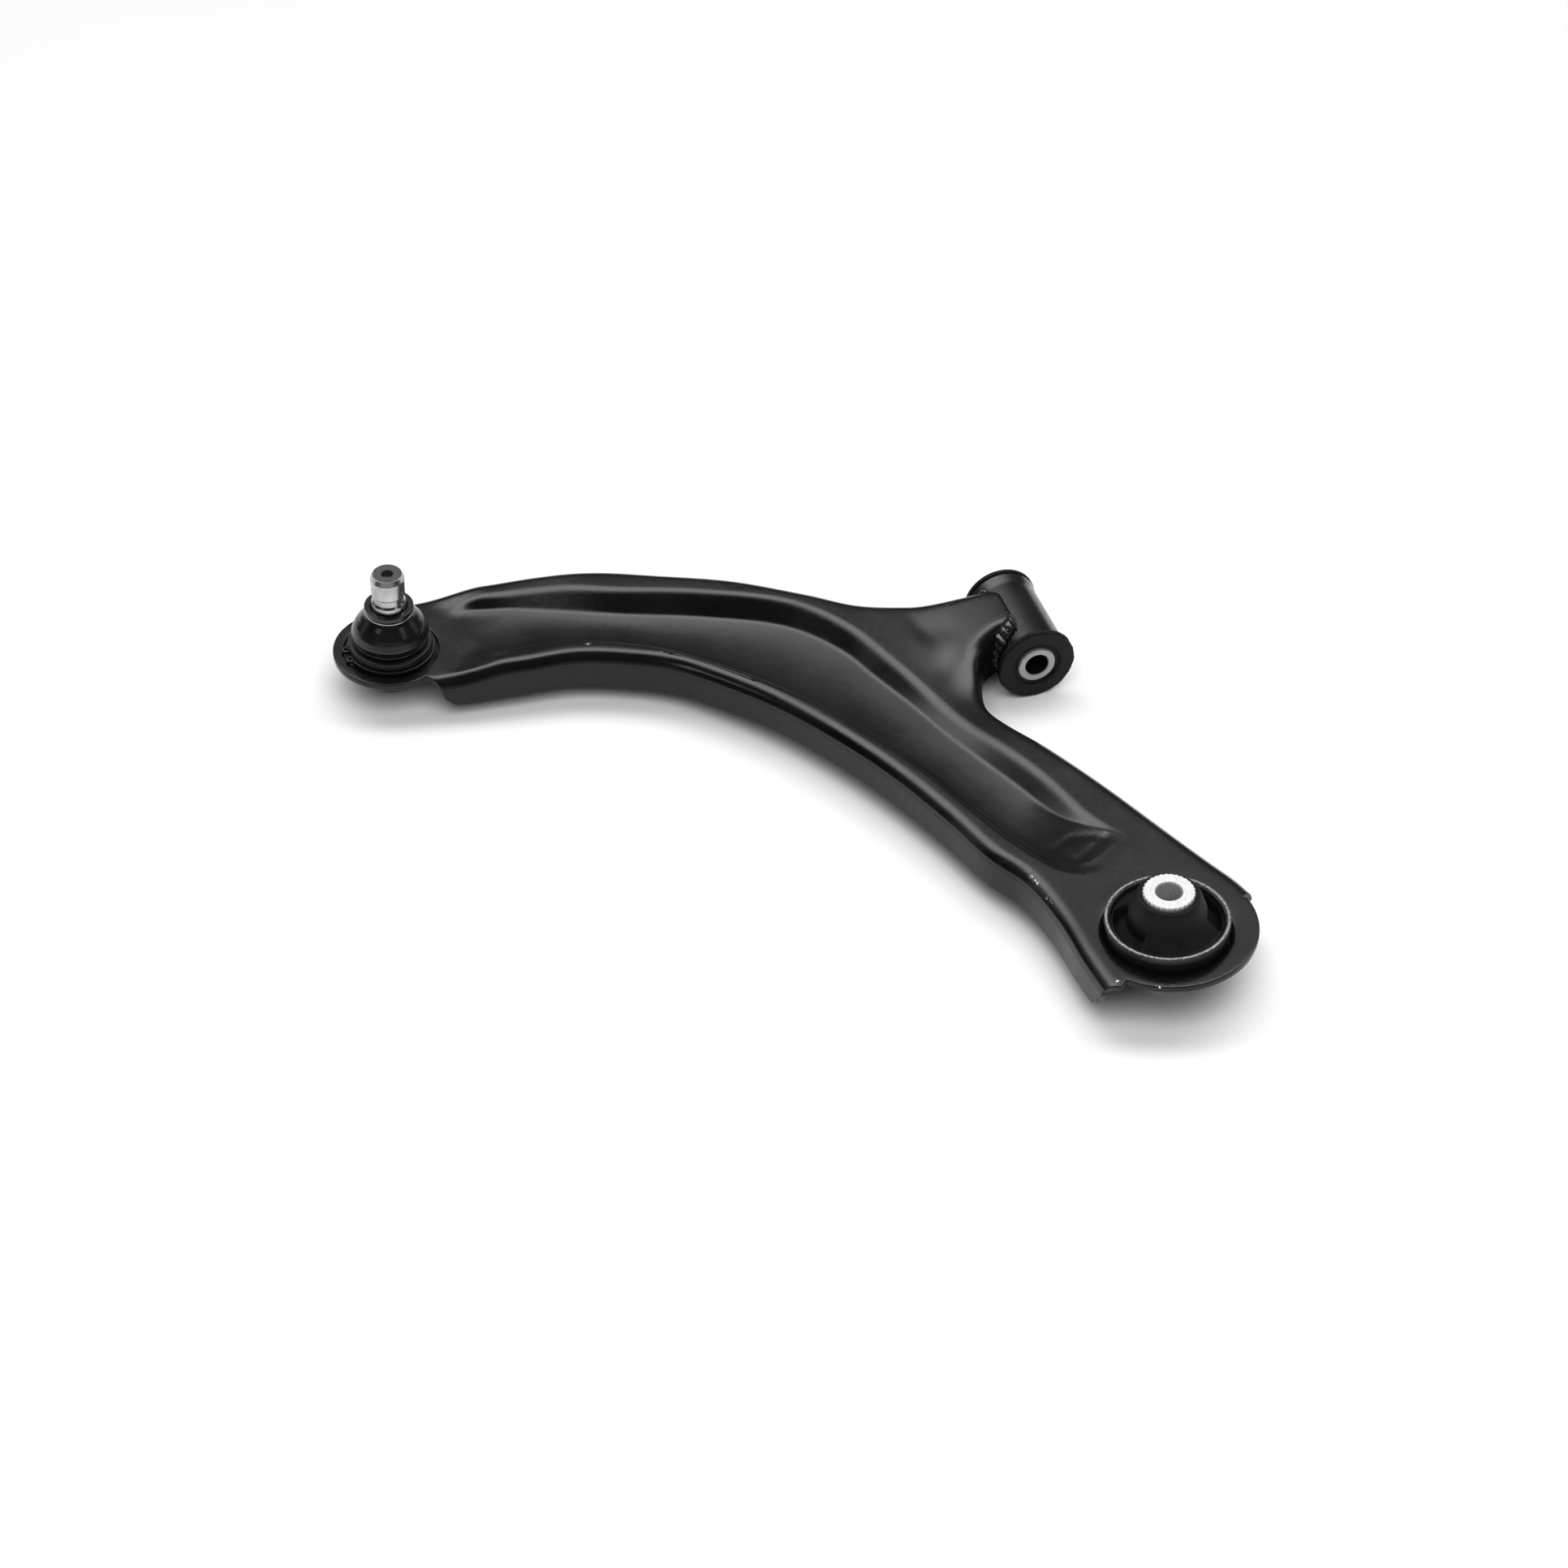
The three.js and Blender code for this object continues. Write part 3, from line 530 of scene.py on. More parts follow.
def edge_rows(knots, start_lean, end_lean):
    """Skirt and shoulder along one edge, from the foot to the top of the shoulder.

    The leans say how far, per mm of inset, the trimmed ends run out past the edge line.
    """
    line = smooth_line(knots, EDGE_STEP)
    along, left = line_directions(line, False)
    inner = line + left * SHOULDER
    crest = crest_height(inner[:, 0], inner[:, 1])
    foot = height_at(FOOT, np.hypot(line[:, 0], line[:, 1]))
    run = np.r_[0, np.cumsum(np.linalg.norm(np.diff(line, axis=0), axis=1))]
    back = run[-1] - run
    for away in (run, back):
        short = np.clip(SKIRT_CORNER - away, 0, SKIRT_CORNER)
        foot = foot + SKIRT_CORNER - np.sqrt(np.maximum(SKIRT_CORNER ** 2 - short ** 2, 0))
    fade_start, fade_end = np.clip(1 - run / END_FADE, 0, 1), np.clip(1 - back / END_FADE, 0, 1)
    shoulder_low = crest - SHOULDER
    placed = []
    for share in SKIRT_ROWS:
        height = foot + (shoulder_low - foot) * share
        shift = SKIRT_SHEAR * (shoulder_low - height) * (fade_start - fade_end)
        placed.append((-DRAFT * (1 - share), shift, height))
    for turn in np.radians(np.linspace(0, 90, 11)):
        inset = SHOULDER * (1 - math.cos(turn))
        shift = inset * (end_lean * fade_end ** 2 - start_lean * fade_start ** 2)
        placed.append((inset, shift, crest - SHOULDER * (1 - math.sin(turn))))
    return np.stack([np.column_stack([line + left * inset + along * shift[:, None], height])
                     for inset, shift, height in placed], axis=1)


def channel_lines():
    """The channel's crease in plan, and its widths and softness along it."""
    line = smooth_line(CHANNEL_FLOOR, EDGE_STEP, loop=True)
    _, left = line_directions(line, True)
    crease, width, run_out, soft = line[:, :2], line[:, 2], line[:, 3], line[:, 4]
    return crease, left, width, run_out, soft


def distance_to(points, line):
    """Distance from each plan point to the nearest point of a dense line."""
    nearest = np.full(len(points), np.inf)
    for start in range(0, len(line), 64):
        part = line[None, start:start + 64]
        nearest = np.minimum(nearest, np.linalg.norm(points[:, None] - part, axis=2).min(axis=1))
    return nearest


def panel_groove(points):
    """Depth of the shallow groove around the panel at the channel's rear end."""
    away = np.full(len(points), 1e3)
    corners = [np.array(c, float) for c in END_PANEL]
    for a, b in zip(corners, corners[1:] + corners[:1]):
        away = np.minimum(away, segment_distance(points, a, b))
    return PANEL_GROOVE["depth"] * np.exp(-(away / PANEL_GROOVE["width"]) ** 2)


def floor_height(x, y):
    """Height of the dished channel floor."""
    crease, left, _, run_out, soft = channel_lines()
    floor_line = crease + left * run_out[:, None]
    far = soft < FAR_SOFTNESS
    points = np.column_stack([np.ravel(x), np.ravel(y)]).astype(float)
    to_near, to_far = distance_to(points, floor_line[~far]), distance_to(points, floor_line[far])
    total = np.maximum(to_near + to_far, 1e-6)
    bend = (FLOOR_BOWL["far"] + FLOOR_BOWL["near"]) / total
    lowest = total * FLOOR_BOWL["near"] / (FLOOR_BOWL["far"] + FLOOR_BOWL["near"])
    dish = bend / 2 * (to_near - lowest) ** 2
    height = height_at(FLOOR, np.hypot(points[:, 0], points[:, 1])) + dish
    return np.minimum(height, crest_height(points[:, 0], points[:, 1]) - 0.1) - panel_groove(points)


def channel_rows():
    """The channel's wall and the run-out at its foot, from the crest to the floor."""
    crease, left, width, run_out, soft = channel_lines()
    crest_line = crease - left * width[:, None]
    floor_line = crease + left * run_out[:, None]
    top = crest_height(crest_line[:, 0], crest_line[:, 1])
    drop = top - floor_height(floor_line[:, 0], floor_line[:, 1])
    limit = 0.6 * drop / (width + run_out)
    last = np.minimum(RUN_OUT_SLOPE, limit)
    side_slope = np.where(soft < FAR_SOFTNESS, FLOOR_BOWL["far"], FLOOR_BOWL["near"])
    floor_slope = np.minimum(side_slope, 0.7 * limit)
    foot = (last + floor_slope) / 2 * run_out
    start, end = np.minimum((CREST_LIMIT - soft) * width, CREST_ROUND), soft * width
    steep = (drop - foot - last * end / 2) / (width - start / 2 - end / 2)
    rows = []
    for share in np.r_[np.linspace(0, 1, 15), np.linspace(1, 2, 5)[1:]]:
        if share <= 1:
            d = share * width
            fallen = np.where(d < start, steep * d * d / (2 * start), steep * (d - start / 2))
            into = np.maximum(d - (width - end), 0)
            fallen = fallen - (steep - last) * into * into / (2 * end)
            plan = crest_line + left * d[:, None]
        else:
            d = (share - 1) * run_out
            fallen = drop - foot + last * d - (last - floor_slope) * d * d / (2 * run_out)
            plan = crease + left * d[:, None]
        rows.append(np.column_stack([plan, top - fallen]))
    return np.stack(rows, axis=1)


class Surface:
    """An open surface gathered from bands and areas; its faces look up and outwards."""

    def __init__(self):
        self.points, self.faces, self.count = [], [], 0

    def take(self, points, faces):
        self.points.append(np.asarray(points, float))
        self.faces.extend(tuple(self.count + c for c in face) for face in faces)
        self.count += len(points)

    def band(self, rows, loop=False):
        n, m = rows.shape[:2]
        faces = []
        for i in range(n if loop else n - 1):
            here, there = i * m, ((i + 1) % n) * m
            for c in range(m - 1):
                faces.append((here + c, there + c, there + c + 1, here + c + 1))
        self.take(rows.reshape(-1, 3), faces)

    def area(self, outline, holes, height):
        """Fills the plan area inside outline and outside the holes; height gives z inside it."""
        loops = [np.asarray(outline, float)] + [np.asarray(h, float) for h in holes]
        border = np.vstack([loop[:, :2] for loop in loops])
        edges, base = [], 0
        for loop in loops:
            n = len(loop)
            edges += [(base + i, base + (i + 1) % n) for i in range(n)]
            base += n
        low, high = border.min(0), border.max(0)
        ys = np.arange(low[1], high[1], GRID_STEP * 0.866)
        grid = np.array([
            (x + (GRID_STEP / 2 if k % 2 else 0), y)
            for k, y in enumerate(ys) for x in np.arange(low[0], high[0], GRID_STEP)
        ])
        grid = grid[in_area(grid, loops)]
        clear = np.ones(len(grid), bool)
        for a, b in edges:
            clear &= segment_distance(grid, border[a], border[b]) > GRID_STEP * 0.55
        grid = grid[clear]
        plan = np.vstack([border, grid])
        found = delaunay_2d_cdt([Vector(p) for p in plan], edges, [], 0, 1e-6)
        verts = np.array([tuple(v) for v in found[0]])
        source = [ids[0] if ids else -1 for ids in found[3]]
        z_border = np.concatenate([loop[:, 2] for loop in loops])
        z_all = np.concatenate([z_border, height(grid[:, 0], grid[:, 1])])
        points = np.column_stack([verts, [z_all[s] for s in source]])
        tri = np.array(found[2])
        tri = tri[in_area(verts[tri].mean(axis=1), loops)]
        a, b, c = (verts[tri[:, k]] for k in range(3))
        area = (b[:, 0] - a[:, 0]) * (c[:, 1] - a[:, 1]) - (c[:, 0] - a[:, 0]) * (b[:, 1] - a[:, 1])
        tri = np.where((area > 0)[:, None], tri, tri[:, ::-1])
        self.take(points, [tuple(t) for t in tri[np.abs(area) > 1e-9]])

    def welded(self):
        return weld_points(np.vstack(self.points), self.faces, 2e-3)


def in_polygon(points, polygon):
    x, y = points[:, 0], points[:, 1]
    inside = np.zeros(len(points), bool)
    for (x0, y0), (x1, y1) in zip(polygon, np.roll(polygon, -1, axis=0)):
        if y0 == y1:
            continue
        crosses = (y0 > y) != (y1 > y)
        inside ^= crosses & (x < (x1 - x0) * (y - y0) / (y1 - y0) + x0)
    return inside


def in_area(points, loops):
    """Tells which plan points lie inside the first loop and outside the others."""
    inside = in_polygon(points, loops[0][:, :2])
    for hole in loops[1:]:
        inside &= ~in_polygon(points, hole[:, :2])
    return inside


def segment_distance(points, a, b):
    """Distance of plan points from the segment between a and b."""
    d = b - a
    t = np.clip(((points - a) @ d) / max(d @ d, 1e-12), 0, 1)
    return np.linalg.norm(points - (a + t[:, None] * d), axis=1)


def point_normals(points, faces):
    total = np.zeros_like(points)
    for face in faces:
        corners = points[list(face)]
        n = np.zeros(3)
        for i in range(len(face)):
            n += np.cross(corners[i], corners[(i + 1) % len(face)])
        for corner in face:
            total[corner] += n
    length = np.linalg.norm(total, axis=1, keepdims=True)
    return total / np.maximum(length, 1e-12)


def thickened(points, faces, thickness, fillet=0.7, steps=3):
    """A closed sheet under a surface, with rounded rims."""
    normal = point_normals(points, faces)
    directed = dict.fromkeys(side for face in faces for side in zip(face, face[1:] + face[:1]))
    rim = {a: b for a, b in directed if (b, a) not in directed}
    before = {b: a for a, b in rim.items()}
    outward = {}
    for a in rim:
        out = np.cross(points[rim[a]] - points[before[a]], normal[a])
        outward[a] = out / max(np.linalg.norm(out), 1e-12)
    count = len(points)
    top, under = points.copy(), points - normal * thickness
    for a, out in outward.items():
        top[a] = points[a] - out * fillet
        under[a] = under[a] - out * fillet
    new_faces = list(faces) + [tuple(count + c for c in reversed(face)) for face in faces]
    order = list(rim)
    place = {a: k for k, a in enumerate(order)}
    base = points[order]
    out = np.array([outward[a] for a in order])
    up = normal[order]
    turns = [math.pi / 2 * k / steps for k in range(steps + 1)]
    rings = []
    for turn in turns[1:]:
        rings.append(base - out * fillet * (1 - math.sin(turn)) - up * fillet * (1 - math.cos(turn)))
    for turn in turns[:-1]:
        down = thickness - fillet * (1 - math.sin(turn))
        rings.append(base - out * fillet * (1 - math.cos(turn)) - up * down)
    starts = [2 * count + k * len(order) for k in range(len(rings))]
    for a, b in rim.items():
        column_a, column_b = ([c] + [s + place[c] for s in starts] + [count + c] for c in (a, b))
        for k in range(len(column_a) - 1):
            new_faces.append((column_b[k], column_a[k], column_a[k + 1], column_b[k + 1]))
    return np.vstack([top, under] + rings), new_faces


def ring_points(centre, radius, turns, z):
    x, y = centre[0] + radius * np.cos(turns), centre[1] + radius * np.sin(turns)
    return np.column_stack([x, y, np.full(len(turns), float(z))])


def arc_points(centre, radius, start, end, z, step=2.0):
    """Points along an arc in plan; angles in degrees."""
    count = max(3, round(abs(math.radians(end - start)) * radius / step))
    return ring_points(centre, radius, np.radians(np.linspace(start, end, count + 1)), z)


def cut_away(piece, tools):
    """Cuts the tools out of a piece for good, and removes them."""
    for tool in tools:
        cutter = piece.modifiers.new("cut", "BOOLEAN")
        cutter.operation, cutter.object, cutter.solver = "DIFFERENCE", tool, "EXACT"
    bpy.context.view_layer.update()
    mesh = bpy.data.meshes.new_from_object(piece.evaluated_get(bpy.context.evaluated_depsgraph_get()))
    piece.modifiers.clear()
    piece.data = mesh
    for tool in tools:
        bpy.data.objects.remove(tool)


def build_shell():
    """The pressed shell: edges, channel, flat areas and the rear collar, thickened downwards."""
    surface = Surface()
    near = edge_rows(NEAR_EDGE, 0.9, 0.6)
    far = edge_rows(FAR_EDGE, 0.2, 0.0)
    channel = channel_rows()
    surface.band(near)
    surface.band(far)
    surface.band(channel, loop=True)
    rear_arc, ball_arc = (
        arc_points(plate["centre"], plate["radius"], *plate["arc"], plate["top"])
        for plate in (REAR_PLATE, BALL_PLATE)
    )
    outline = np.vstack([near[:, -1], rear_arc, far[:, -1], ball_arc])
    mouth = COLLAR_INNER + COLLAR_ENTRY
    rear_hole = arc_points(REAR, mouth, 0, 360, REAR_PLATE["top"])[:-1]
    ball_hole = arc_points((0, 0), BALL_PLATE["hole"], 0, 360, BALL_PLATE["top"])[:-1]
    surface.area(outline, [channel[:, 0], rear_hole, ball_hole], crest_height)
    surface.area(channel[:, -1], [], floor_height)
    collar = []
    for turn in np.radians(np.linspace(90, 180, 7)):
        height = REAR_PLATE["top"] - COLLAR_ENTRY * (1 - math.sin(turn))
        collar.append((mouth + COLLAR_ENTRY * math.cos(turn), height))
    collar += [(COLLAR_INNER, COLLAR_STEP), (COLLAR_INNER, COLLAR_BOTTOM)]
    turns = np.arctan2(rear_hole[:, 1] - REAR[1], rear_hole[:, 0] - REAR[0])
    surface.band(np.stack([ring_points(REAR, r, turns, z) for r, z in collar], axis=1), loop=True)
    points, faces = surface.welded()
    points, faces = thickened(points, faces, SHEET)
    # Skirt faces take the duller coat, painted shade.
    shaded_skirt = []
    for face in faces:
        a, b, c = points[face[0]], points[face[1]], points[face[2]]
        normal = np.cross(b - a, c - a)
        upright = abs(normal[2]) < SKIRT_LEAN * np.linalg.norm(normal)
        shaded_skirt.append(int(upright or max(a[2], b[2], c[2]) < SKIRT_TOP))
    return make_piece("pressed_shell", points, faces, [COAT, COAT_SHADED_SKIRT],
                      nodes=("arm_shell",), sharp=SHELL_SHARP, face_slots=shaded_skirt)


shell = build_shell()
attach(shell, "arm")


# ---- Bush eye and welds ----

EYE_RADIUS, EYE_BORE = 18.5, 16.6
NEAR_RIM, FAR_RIM = -117.0, -65.3
FLANGE_RADIUS, FLANGE_THICK = 21.1, 3.2
FRONT_SLEEVE_RADIUS, FRONT_SLEEVE_BORE, FRONT_STAND = 10.3, 6.3, 3.4
# The round notch in the shell's far corner, and the ragged trim around the eye.
NOTCH = {"lean": math.radians(13), "y": -76.5, "radius": 3.0, "from": 14.0, "to": 32.0}
TRIM = {"gap": 0.5, "ragged": 0.7, "sides": 72, "y": (-135.0, -50.0)}


def notch_tool():
    """A round cutter pointing out of the eye, for the notch in the shell's far corner."""
    radius, start, end, lean = NOTCH["radius"], NOTCH["from"], NOTCH["to"], NOTCH["lean"]
    points, faces = lathe(np.array([[0, start], [radius, start], [radius, end], [0, end]]), 32)
    side = np.array([math.cos(lean), 0, math.sin(lean)])
    out = np.array([-math.sin(lean), 0, math.cos(lean)])
    placed = np.array([FRONT[0], NOTCH["y"], FRONT[2]]) + points @ np.stack([side, [0, 1, 0], out])
    return hidden_tool("notch", placed, faces)


def hidden_tool(name, points, faces):
    mesh = bpy.data.meshes.new(name)
    mesh.from_pydata(row_frame(points).tolist(), [], faces)
    return add_object(name, mesh)


def trim_at_eye(piece):
    """Cuts the shell back to a slightly ragged line just off the eye."""
    rng = np.random.default_rng(4)
    count = TRIM["sides"]
    turns = np.linspace(0, 2 * math.pi, count, endpoint=False)
    lumps = rng.uniform(0, TRIM["ragged"], count // 3 + 1)
    radius = EYE_RADIUS + TRIM["gap"] + np.interp(np.arange(count), np.arange(0, count + 3, 3), lumps)
    points = on_front(np.vstack([ring_points((0, 0), radius, turns, y) for y in TRIM["y"]]))
    faces = tube_faces(2, count) + end_caps(2, count)
    cut_away(piece, [hidden_tool("trim", points, faces), notch_tool()])
    finish_shading(piece, SHELL_SHARP)


trim_at_eye(shell)
turned_piece("bush_eye", [
    (EYE_BORE, NEAR_RIM, 0.4), (EYE_RADIUS, NEAR_RIM, 0.6), (EYE_RADIUS, FAR_RIM - 7, 20.0),
    (19.2, FAR_RIM - 0.8, 0.5), (18.8, FAR_RIM, 0.3), (EYE_BORE, FAR_RIM, 0.4),
], COAT_PLAIN, "arm", ("front_bush_eye",), on_front)


BEAD_STEPS, BEAD_SIDES = 170, 24
BEAD_RIPPLE = {"height": 0.22, "turn": 26}
BEAD_LIFT, BEAD_DROP = 0.68, 0.12  # how round the bead is away from the eye and towards it
BEAD_HEAD = 0.07  # where along the bead its thick head lies, and how long it is


def uneven(rng, knots, low, high):
    """Random values at even knots, joined by straight lines over the bead's steps."""
    places = np.linspace(0, knots - 1, BEAD_STEPS)
    return np.interp(places, np.arange(knots), rng.uniform(low, high, knots))


def weld_bead(name, node, path, radius, blob, seed):
    """A rippled bead laid around the eye; path gives angles from its top and places along Y.

    The blob says how much thicker the bead's head is.
    """
    rng = np.random.default_rng(seed)
    wander, swell = uneven(rng, 15, -1, 1), uneven(rng, 21, 0.85, 1.12)
    knots = np.linspace(0, 1, len(path))
    distance = EYE_RADIUS + 0.3
    along = np.array([0, 1.0, 0])
    points = []
    for k in range(BEAD_STEPS):
        t = k / (BEAD_STEPS - 1)
        turn = math.radians(90 - np.interp(t, knots, [p[0] for p in path]))
        y = np.interp(t, knots, [p[1] for p in path]) + 0.3 * wander[k]
        ends = min(1.0, math.sqrt(max(0.0, min(t, 1 - t) * 14)))
        ripple = 1 + BEAD_RIPPLE["height"] * abs(math.sin(t * BEAD_RIPPLE["turn"])) - 0.1
        head = 1 + blob * math.exp(-((t - BEAD_HEAD) / BEAD_HEAD) ** 2)
        size = max(radius * ends * ripple * head * swell[k], 0.02)
        cos, sin = math.cos(turn), math.sin(turn)
        out = np.array([-cos, 0, sin])
        centre = np.array([FRONT[0] - distance * cos, y, FRONT[2] + distance * sin])
        for angle in (2 * math.pi * side / BEAD_SIDES for side in range(BEAD_SIDES)):
            lift = (BEAD_LIFT if math.cos(angle) > 0 else BEAD_DROP) * math.cos(angle)
            points.append(centre + size * (lift * out + math.sin(angle) * along))
    faces = tube_faces(BEAD_STEPS, BEAD_SIDES) + end_caps(BEAD_STEPS, BEAD_SIDES)
    make_piece(name, np.array(points), faces, WELD, "arm", (node,), sharp=80)


NEAR_WELD = [(17, -101.5), (34, -104.8), (51, -106.8), (68, -107.4), (85, -107), (104, -106)]
weld_bead("weld_near", "eye_weld_near", NEAR_WELD, 5.3, 0.12, 1)
weld_bead("weld_far", "eye_weld_far", [(33, -71.4), (70, -71.2), (110, -71.2)], 1.8, 0.2, 2)


# ---- Front bush ----

FLANGE_FLASH = ((0.16, 7, 1), (0.12, 17, 0), (0.08, 41, 0))  # height, waves around the rim, phase
FLASH_DEPTH = 1.6  # how far in from the rim the flash reaches


def flashed(line, angle):
    """Gives the flange's rim a rough moulding edge."""
    line = line.copy()
    flash = sum(height * math.sin(waves * angle + phase) for height, waves, phase in FLANGE_FLASH)
    rim = line[:, 0] > FLANGE_RADIUS - FLASH_DEPTH
    line[rim, 0] += flash * (line[rim, 0] - FLANGE_RADIUS + FLASH_DEPTH) / FLASH_DEPTH
    return line


def both_ends(end, near, far):
    """A profile with the same end twice; end lists (radius, distance inwards, fillet)."""
    return [(r, near + d, f) for r, d, f in end] + [(r, far - d, f) for r, d, f in reversed(end)]


lip, body, far_radius = FRONT_SLEEVE_RADIUS + 0.15, EYE_BORE - 2.1, FLANGE_RADIUS - 1.5
near_face, far_face = NEAR_RIM - FLANGE_THICK, FAR_RIM + FLANGE_THICK
turned_piece("front_rubber", [
    (lip, near_face + 1.4, 0.4), (lip + 1.6, near_face + 1.4, 0.4), (lip + 3.0, near_face, 0.9),
    (FLANGE_RADIUS, near_face, 1.3), (FLANGE_RADIUS, NEAR_RIM - 0.3, 0.5), (body, NEAR_RIM - 0.3, 0.2),
    (body, FAR_RIM + 0.3, 0.2), (far_radius, FAR_RIM + 0.3, 0.5), (far_radius, far_face, 1.3),
    (lip + 3.0, far_face, 0.9), (lip + 1.6, far_face - 1.4, 0.4), (lip, far_face - 1.4, 0.4),
], BUSH_RUBBER, "arm", ("front_bush_rubber",), on_front, 192, flashed)

sleeve_points, sleeve_faces = lathe(rounded(both_ends([
    (FRONT_SLEEVE_BORE, 0.5, 0.2), (FRONT_SLEEVE_BORE + 0.5, 0, 0.15),
    (FRONT_SLEEVE_RADIUS - 0.6, 0, 0.2), (FRONT_SLEEVE_RADIUS, 0.6, 0.3),
], NEAR_RIM - FRONT_STAND, FAR_RIM + FRONT_STAND)))
sleeve_radius = np.hypot(sleeve_points[:, 0], sleeve_points[:, 1])
# Faces in the bore take the near-black painted shade.
in_shaded_bore = np.array([sleeve_radius[list(face)].max() < FRONT_SLEEVE_BORE + 0.3 for face in sleeve_faces])
make_piece("front_sleeve", on_front(sleeve_points), sleeve_faces, [FRONT_SLEEVE, BORE_PAINTED_SHADE],
           "front_bush_sleeve", ("front_bush_inner_sleeve",),
           face_slots=in_shaded_bore.astype(int))


# ---- Rear bush ----

REAR_HEIGHT = 58.5
TEETH = {"count": 30, "height": 0.24, "reach": 1.2, "from": 11.5}
turned_piece("rear_ring", [
    (28.6, 19.5, 0.3), (30.6, 19.5, 0.5), (30.6, 37.6, 0.3), (31.5, 38.3, 0.3), (31.5, 41.5, 0.8),
    (29.9, 41.5, 0.5), (28.6, 40.4, 0.4),
], RING_METAL_AND_SHADE, "arm", ("rear_bush_outer_sleeve",), at_rear, 160)


def serrated(line, angle):
    """Gives the sleeve's top edge its small teeth."""
    line = line.copy()
    top = (line[:, 1] > REAR_HEIGHT - TEETH["reach"]) & (line[:, 0] > TEETH["from"])
    line[top, 0] += TEETH["height"] * math.sin(TEETH["count"] * angle)
    return line


turned_piece("rear_sleeve", [
    (6.5, 0.4, 0.2), (6.9, 0, 0.1), (9.5, 0, 0.3), (13.0, 3.5, 0.6), (13.0, REAR_HEIGHT - 0.5, 0.3),
    (12.6, REAR_HEIGHT, 0.15), (7.1, REAR_HEIGHT, 0.2), (6.5, REAR_HEIGHT - 0.7, 0.3),
], REAR_SLEEVE, "rear_bush_sleeve", ("rear_bush_inner_sleeve",), at_rear, 288, serrated)

RUBBER_TOP = [
    (28.3, 37.6, 0.5), (28.3, 38.4, 0.6), (26.2, 39.6, 1.2), (22.8, 42.6, 2.0), (20.3, 45.2, 2.0),
    (18.3, 50.0, 2.0), (17.0, 54.0, 1.6), (15.8, 56.4, 1.0), (14.6, 56.9, 0.6), (13.3, 56.2, 0.4),
    (13.3, 30.3), (28.3, 30.3),
]
RUBBER_FOOT = [
    (13.3, 30.3), (13.3, 6.4, 0.4), (14.6, 5.6, 0.6), (15.8, 6.6, 1.0), (17.0, 10.5, 1.6),
    (20.5, 16.5, 2.0), (25.0, 21.5, 2.0), (28.3, 24.0, 0.8), (28.3, 30.3),
]
# The kidney pockets: their half angle and rims (each from edge to full depth), and the heights
# that part the hollowed end faces from the rest.
POCKET = {"depth": 6.5, "turn": (-math.radians(38), -math.radians(31)), "inner": (19.4, 20.6),
          "outer": (-27.2, -26.2), "above": 36, "below": 25}
# Where the small moulded pip sits on the bell, and how far it leans from upright.
PIP = {"radius": 21.7, "height": 43.7, "turn": math.radians(-94), "lean": math.radians(46)}


def fine_profile(profile, step):
    """Adds points along a closed profile so that no side is longer than step."""
    result = []
    for a, b in zip(profile, np.roll(profile, -1, axis=0)):
        count = max(1, math.ceil(np.linalg.norm(b - a) / step))
        result += [a + (b - a) * k / count for k in range(count)]
    return np.array(result)


def bush_half(name, upper, node=()):
    """Half of the rear bush's rubber, hollowed by two kidney pockets."""
    points, faces = lathe(fine_profile(rounded(RUBBER_TOP if upper else RUBBER_FOOT), 1.4), 240)
    turn = np.arctan2(points[:, 1], points[:, 0])
    radius, height = np.hypot(points[:, 0], points[:, 1]), points[:, 2]
    for middle in (0.0, math.pi):
        away = np.abs((turn - middle + math.pi) % (2 * math.pi) - math.pi)
        inside = smoothstep(-away, *POCKET["turn"])
        inside = inside * smoothstep(radius, *POCKET["inner"]) * smoothstep(-radius, *POCKET["outer"])
        depth = POCKET["depth"] * inside
        surface = height > POCKET["above"] if upper else height < POCKET["below"]
        height = np.where(surface, height - depth if upper else height + depth, height)
    points = np.column_stack([points[:, 0], points[:, 1], height])
    if upper:
        points, faces = with_pip(points, faces)
    return make_piece(name, at_rear(points), faces, BUSH_RUBBER, None, node)


def with_pip(points, faces):
    """Adds the small moulded pip on the near side of the bell."""
    pip_points, pip_faces = lathe(rounded([
        (0, -1.0), (1.8, -1.0), (1.8, 0.0, 0.2), (1.2, 0.55, 0.2), (0.7, 0.55, 0.2), (0.4, 0.15),
        (0, 0.1),
    ]), 20)
    lean, turn = PIP["lean"], PIP["turn"]
    away = np.array([math.cos(turn), math.sin(turn), 0.0])
    out = away * math.sin(lean) + [0, 0, math.cos(lean)]
    side = np.array([-away[1], away[0], 0.0])
    centre = away * PIP["radius"] + [0, 0, PIP["height"]]
    placed = centre + pip_points @ np.stack([side, np.cross(out, side), out])
    pip_faces = [tuple(len(points) + c for c in face) for face in pip_faces]
    return np.vstack([points, placed]), list(faces) + pip_faces


upper = bush_half("rear_rubber_upper", True, ("rear_bush_rubber",))
lower = bush_half("rear_rubber_lower", False)


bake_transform(upper)
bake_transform(lower)


# ---- Ball joint ----

BALL_Z, BALL_RADIUS, STUD_TOP = 16.5, 11.5, 74.0
NECK_ANGLE = 56.8  # degrees above the ball's equator at which its neck leaves it

